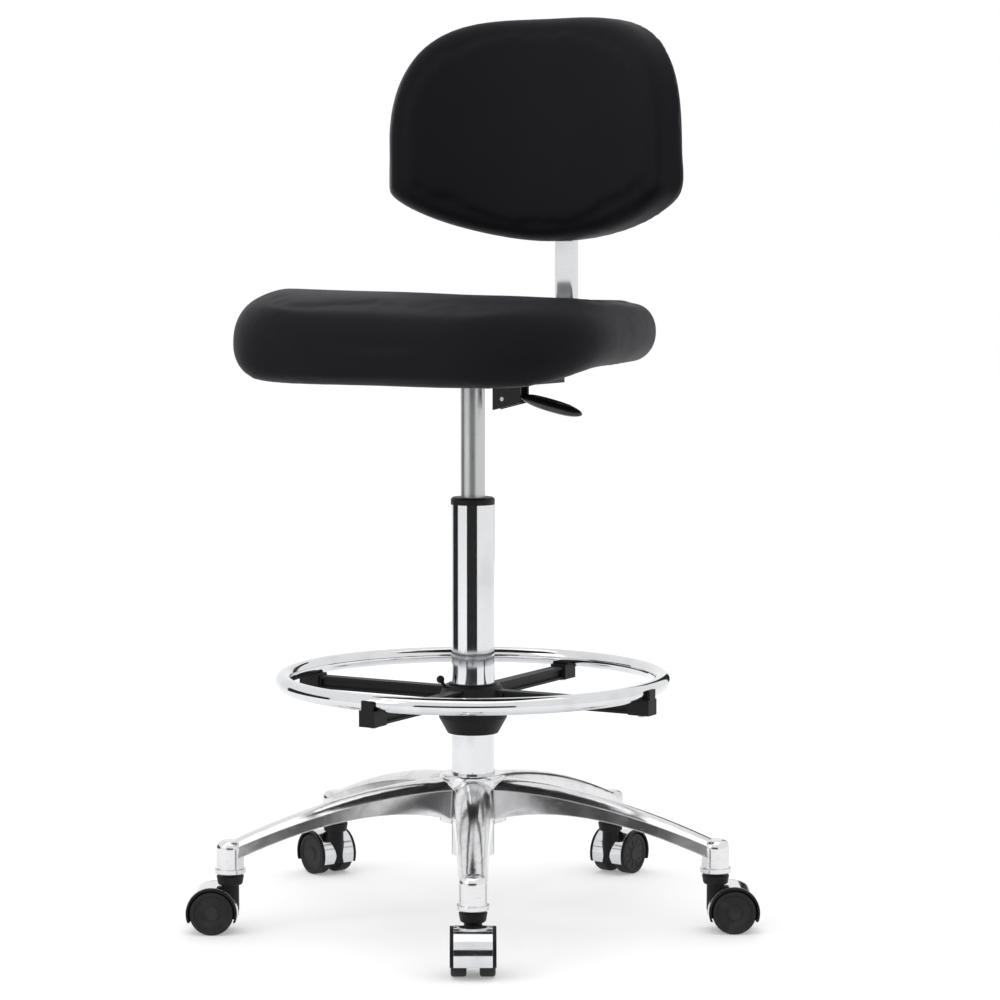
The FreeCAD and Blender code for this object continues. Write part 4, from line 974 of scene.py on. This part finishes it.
@dataclass
class SocketHeads:
    """Hexagon-socket button heads on a rectangle of bolts, seen end on."""

    name: str
    body: str
    node: str
    axis: Vector
    head: float
    rise: float
    socket: float
    crown: float = 0.68
    foot: float = 0.98

    def build(self, wardrobe: Wardrobe) -> bpy.types.Object:
        """Make the heads and fix them to their body.

        Args:
            wardrobe: the chair's materials.

        Returns:
            The heads as one mesh.
        """
        low, high = (Vector(corner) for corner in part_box(self.node))
        upright = abs(self.axis.z) > 0.5
        reach_x = (high.x - low.x) / 2 - self.head
        reach_y = ((high.y - low.y) if upright else (high.z - low.z)) / 2 - self.head
        middle = (low + high) / 2
        if upright:
            middle.z = low.z if self.axis.z < 0 else high.z
        else:
            middle.y = high.y if self.axis.y > 0 else low.y
        turn = Vector(self.axis.to_track_quat("Z", "Y").to_euler())
        spread = Spread(self.name, wardrobe.made[Slot.ZINC_STEEL], {
            "Width": 2 * reach_x, "Depth": 2 * reach_y, "Head": self.head, "Rise": self.rise,
            "Socket": self.socket, "Centre": middle, "Turn": turn,
        })
        nodes = spread.nodes
        grid = nodes.node("GeometryNodeMeshGrid", {}, {
            "Size X": spread.given("Width"), "Size Y": spread.given("Depth"),
            "Vertices X": 2, "Vertices Y": 2,
        })
        button = nodes.node("GeometryNodeMeshCone", {}, {
            "Vertices": 32, "Depth": spread.given("Rise"),
            "Radius Top": spread.given("Head") * self.crown,
            "Radius Bottom": spread.given("Head") * self.foot,
        })
        recess = nodes.node("GeometryNodeMeshCylinder", {}, {
            "Vertices": 6, "Radius": spread.given("Socket"), "Depth": spread.given("Rise"),
        })
        lift = nodes.node("ShaderNodeCombineXYZ", {}, {"Z": spread.given("Rise") * 0.5})
        raised = nodes.node("GeometryNodeTransform", {}, {"Geometry": recess, "Translation": lift})
        carved = nodes.node(
            "GeometryNodeMeshBoolean", {"operation": "DIFFERENCE", "solver": "EXACT"},
            {"Mesh 1": button, "Mesh 2": raised},
        )
        copies = nodes.node("GeometryNodeInstanceOnPoints", {}, {"Points": grid, "Instance": carved})
        piece = spread.close(copies)
        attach(piece, self.body)
        return piece


# ------------------------------------------------------------------------------ sub-assemblies
@dataclass
class Casters:
    """Ten wheels with ribbed faces in their dished sides."""

    frame: dict[str, Any]
    wardrobe: Wardrobe
    ribs: int = 10
    rib_radius: float = 14.2 * MM
    rib_length: float = 8.6 * MM
    rib_width: float = 2.0 * MM
    rib_height: float = 1.2 * MM
    dish: float = 1.6 * MM

    def build(self) -> None:
        """Put the ribs into every wheel's dish."""
        for joint in self.frame["joints"]:
            if joint["name"].startswith("caster") and joint["name"].endswith("roll"):
                self._wheel(joint)

    def _wheel(self, joint: dict[str, Any]) -> None:
        """Ribs of one wheel.

        Args:
            joint: the wheel's own hinge.
        """
        node = joint["child"]
        axle = Vector(joint["pos_m"])
        axis = Vector(joint["axis"]).normalized()
        low, high = (Vector(corner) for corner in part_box(node))
        side = 1.0 if (centre(node) - axle).dot(axis) > 0 else -1.0
        corners = [Vector((x, y, 0.0)) for x in (low.x, high.x) for y in (low.y, high.y)]
        wheel_radius = (high.z - low.z) / 2
        spans = [(corner - Vector((axle.x, axle.y, 0.0))).dot(axis * side) for corner in corners]
        slant = 2 * abs(axis.x * axis.y) * wheel_radius
        face = max(spans) - slant
        middle = axle + axis * side * (face - self.dish)
        RibRing(
            node + "_ribs", node, Slot.WHEEL, middle, axis * side, self.ribs, self.rib_radius,
            self.rib_length, self.rib_width, self.rib_height,
        ).build(self.wardrobe)
        log.info("%s ribbed", node)


@dataclass
class NeckCaps:
    """Black dust caps round the caster stems, between the base's bosses and the wheel hoods."""

    frame: dict[str, Any]
    wardrobe: Wardrobe
    radius: float = 15.5 * MM
    low_radius: float = 14.0 * MM
    bore: float = 8.0 * MM
    chamfer: float = 1.2 * MM
    room: float = 0.4 * MM
    sides: int = 48

    def build(self) -> None:
        """Put a cap on every caster."""
        for joint in self.frame["joints"]:
            if joint["name"].startswith("caster") and joint["name"].endswith("swivel"):
                self._cap(joint["child"], Vector(joint["pos_m"]))

    def _cap(self, body: str, stem: Vector) -> None:
        """Turn one cap about its stem.

        Args:
            body: the caster's body.
            stem: a point on the swivel axis.
        """
        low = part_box(body + "_hood")[1][2] + self.room
        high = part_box(body + "_body")[1][2] - self.room
        outline = (
            (self.bore, low), (self.low_radius - self.chamfer, low), (self.low_radius, low + self.chamfer),
            (self.radius, high - self.chamfer), (self.radius - self.chamfer, high), (self.bore, high),
        )
        mesh = bmesh.new()
        rings = []
        for step in range(self.sides):
            turn = 2 * math.pi * step / self.sides
            way = Vector((math.cos(turn), math.sin(turn), 0.0))
            rings.append([
                mesh.verts.new((stem.x + way.x * reach, stem.y + way.y * reach, height))
                for reach, height in outline
            ])
        for ring, after in zip(rings, rings[1:] + rings[:1]):
            for index in range(len(outline)):
                following = (index + 1) % len(outline)
                mesh.faces.new((ring[index], after[index], after[following], ring[following]))
        bmesh.ops.recalc_face_normals(mesh, faces=mesh.faces)
        data = bpy.data.meshes.new(body + "_cap")
        mesh.to_mesh(data)
        mesh.free()
        data.materials.append(self.wardrobe.made[Slot.NYLON])
        cap = new_object(body + "_cap", data)
        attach(cap, body)
        log.info("%s capped", body)


@dataclass
class Upholstery:
    """Seat and back padding."""

    frame: dict[str, Any]
    wardrobe: Wardrobe
    seat: Padding = field(default_factory=lambda: Padding(
        "seat_padding", "seat_cushion", "seat", ("seat_board", "seat_shell"),
    ))
    back: Padding = field(default_factory=lambda: Padding(
        "back_padding", "back_cushion", "back", ("back_board",), fill=0.85, voxel=4.5 * MM,
        shrink=3.5 * MM, swell=5.5 * MM, ease=16.0 * MM,
    ))

    def build(self) -> None:
        """Make both paddings."""
        for padding in (self.seat, self.back):
            padding.build(self.frame, self.wardrobe)


@dataclass
class Fittings:
    """Bolt heads and the ribbed faces of the hand knobs."""

    wardrobe: Wardrobe

    def build(self) -> None:
        """Make every small fitting."""
        self._heads()
        self._knobs()

    def _heads(self) -> None:
        """Socket heads under the seat and behind the back."""
        SocketHeads(
            "mechanism_bolt_heads", "seat", "mechanism_bolts", Vector((0, 0, -1)),
            6.0 * MM, 1.2 * MM, 2.9 * MM,
        ).build(self.wardrobe)
        SocketHeads(
            "back_bolt_heads", "back", "back_bolts", Vector((0, 1, 0)), 5.0 * MM, 1.0 * MM, 2.3 * MM,
        ).build(self.wardrobe)
        log.info("bolt heads made")

    def _knobs(self) -> None:
        """Rays on the faces of the two clamp knobs."""
        for node, axis in (("depth_knob", Vector((0, 0, -1))), ("height_knob", Vector((0, 1, 0)))):
            low, high = (Vector(corner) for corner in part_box(node))
            middle = (low + high) / 2
            radius = (high.x - low.x) / 2
            if axis.z < 0:
                middle.z = low.z
            else:
                middle.y = high.y
            RibRing(
                node + "_rays", node, Slot.PLASTIC, middle, axis, 12, radius * 0.42, radius * 0.42,
                1.0 * MM, 0.6 * MM,
            ).build(self.wardrobe)
            log.info("%s rays made", node)


# ------------------------------------------------------------------------------ studio
@dataclass
class Softbox:
    """One soft area light aimed at the chair."""

    name: str
    place: tuple[float, float, float]
    aim: tuple[float, float, float]
    size: tuple[float, float]
    power: float

    def build(self) -> None:
        """Hang the light."""
        data = bpy.data.lights.new(self.name, "AREA")
        data.shape = "RECTANGLE"
        data.size, data.size_y = self.size
        data.energy = self.power
        light = bpy.data.objects.new(self.name, data)
        way = Vector(self.aim) - Vector(self.place)
        facing = way.to_track_quat("-Z", "Y").to_matrix().to_4x4()
        light.matrix_world = Matrix.Translation(self.place) @ facing
        bpy.context.scene.collection.objects.link(light)


@dataclass
class Flag:
    """Dark screen round the set, seen only as a dark band in bright metal."""

    name: str
    azimuth: float
    distance: float
    width: float
    low: float
    high: float
    tone: float = 0.02
    faded: float = 0.028

    def build(self) -> None:
        """Stand the screen facing the column."""
        turn = math.radians(self.azimuth)
        out = Vector((math.sin(turn), -math.cos(turn), 0.0))
        along = Vector((math.cos(turn), math.sin(turn), 0.0))
        base = out * self.distance
        half = along * (self.width / 2)
        corners = [base - half, base + half, base + half, base - half]
        heights = (self.low, self.low, self.high, self.high)
        mesh = bpy.data.meshes.new(self.name)
        mesh.from_pydata([(c.x, c.y, z) for c, z in zip(corners, heights)], [], [(0, 1, 2, 3)])
        panel = new_object(self.name, mesh)
        cloth = Moulded(self.name + "_cloth", (self.tone,) * 3, (self.faded,) * 3, 0.9)
        mesh.materials.append(cloth.material())
        panel.visible_camera = False
        panel.visible_shadow = False
        panel.visible_diffuse = False


@dataclass
class Studio:
    """Pale sweep, even white surround, softboxes, dark screens and the camera."""

    floor_radius: float = 14.0
    surround: float = 1.0
    distance: float = 3.6375
    azimuth: float = 30.0
    height: float = 0.7851
    tilt: float = 4.744
    turn: float = 0.493
    lens: float = 114.26
    lights: tuple[Softbox, ...] = (
        Softbox("overhead", (0.0, -0.3, 3.2), (0.0, 0.0, 0.4), (3.0, 3.0), 16.0),
        Softbox("front_left", (-1.6, -3.2, 2.4), (0.0, 0.0, 0.6), (1.4, 1.8), 16.0),
    )
    flags: tuple[Flag, ...] = (
        Flag("flag_front", 25.5, 1.6, 1.65, 0.0, 0.62),
        Flag("flag_left", -77.0, 1.9, 1.5, 0.0, 0.62),
        Flag("flag_rear", 190.0, 4.0, 0.8, 0.0, 2.4),
    )

    def build(self) -> None:
        """Set up everything that isn't the chair."""
        self._floor()
        self._surround()
        for piece in (*self.lights, *self.flags):
            piece.build()
        self._camera()
        bpy.context.scene.view_settings.view_transform = "Standard"
        log.info("studio ready")

    def _floor(self) -> None:
        """Lay the sweep."""
        mesh = bmesh.new()
        bmesh.ops.create_circle(mesh, cap_ends=True, radius=self.floor_radius, segments=96)
        data = bpy.data.meshes.new("floor")
        mesh.to_mesh(data)
        mesh.free()
        data.materials.append(StudioFloor("studio_floor").material())
        new_object("floor", data)

    def _surround(self) -> None:
        """Light the room evenly."""
        world = bpy.data.worlds.new("surround")
        world.use_nodes = True
        sky = world.node_tree.nodes["Background"]
        sky.inputs["Color"].default_value = (1.0, 1.0, 1.0, 1.0)
        sky.inputs["Strength"].default_value = self.surround
        bpy.context.scene.world = world

    def _camera(self) -> None:
        """Stand the camera in front of the chair's left corner."""
        data = bpy.data.cameras.new("camera")
        data.lens = self.lens
        data.sensor_width = 36.0
        data.clip_end = 100.0
        camera = bpy.data.objects.new("camera", data)
        turn = math.radians(self.azimuth)
        camera.location = (math.sin(turn) * self.distance, -math.cos(turn) * self.distance, self.height)
        camera.rotation_euler = (math.radians(90.0 - self.tilt), 0.0, math.radians(self.azimuth - self.turn))
        bpy.context.scene.collection.objects.link(camera)
        bpy.context.scene.camera = camera


def main(frame: dict[str, Any]) -> None:
    """Build the chair's looks in order.
    """
    Studio().build()
    wardrobe = Wardrobe()
    wardrobe.dress(frame)
    Upholstery(frame, wardrobe).build()
    Casters(frame, wardrobe).build()
    NeckCaps(frame, wardrobe).build()
    Fittings(wardrobe).build()


if __name__ == "__main__":
    main(frame)
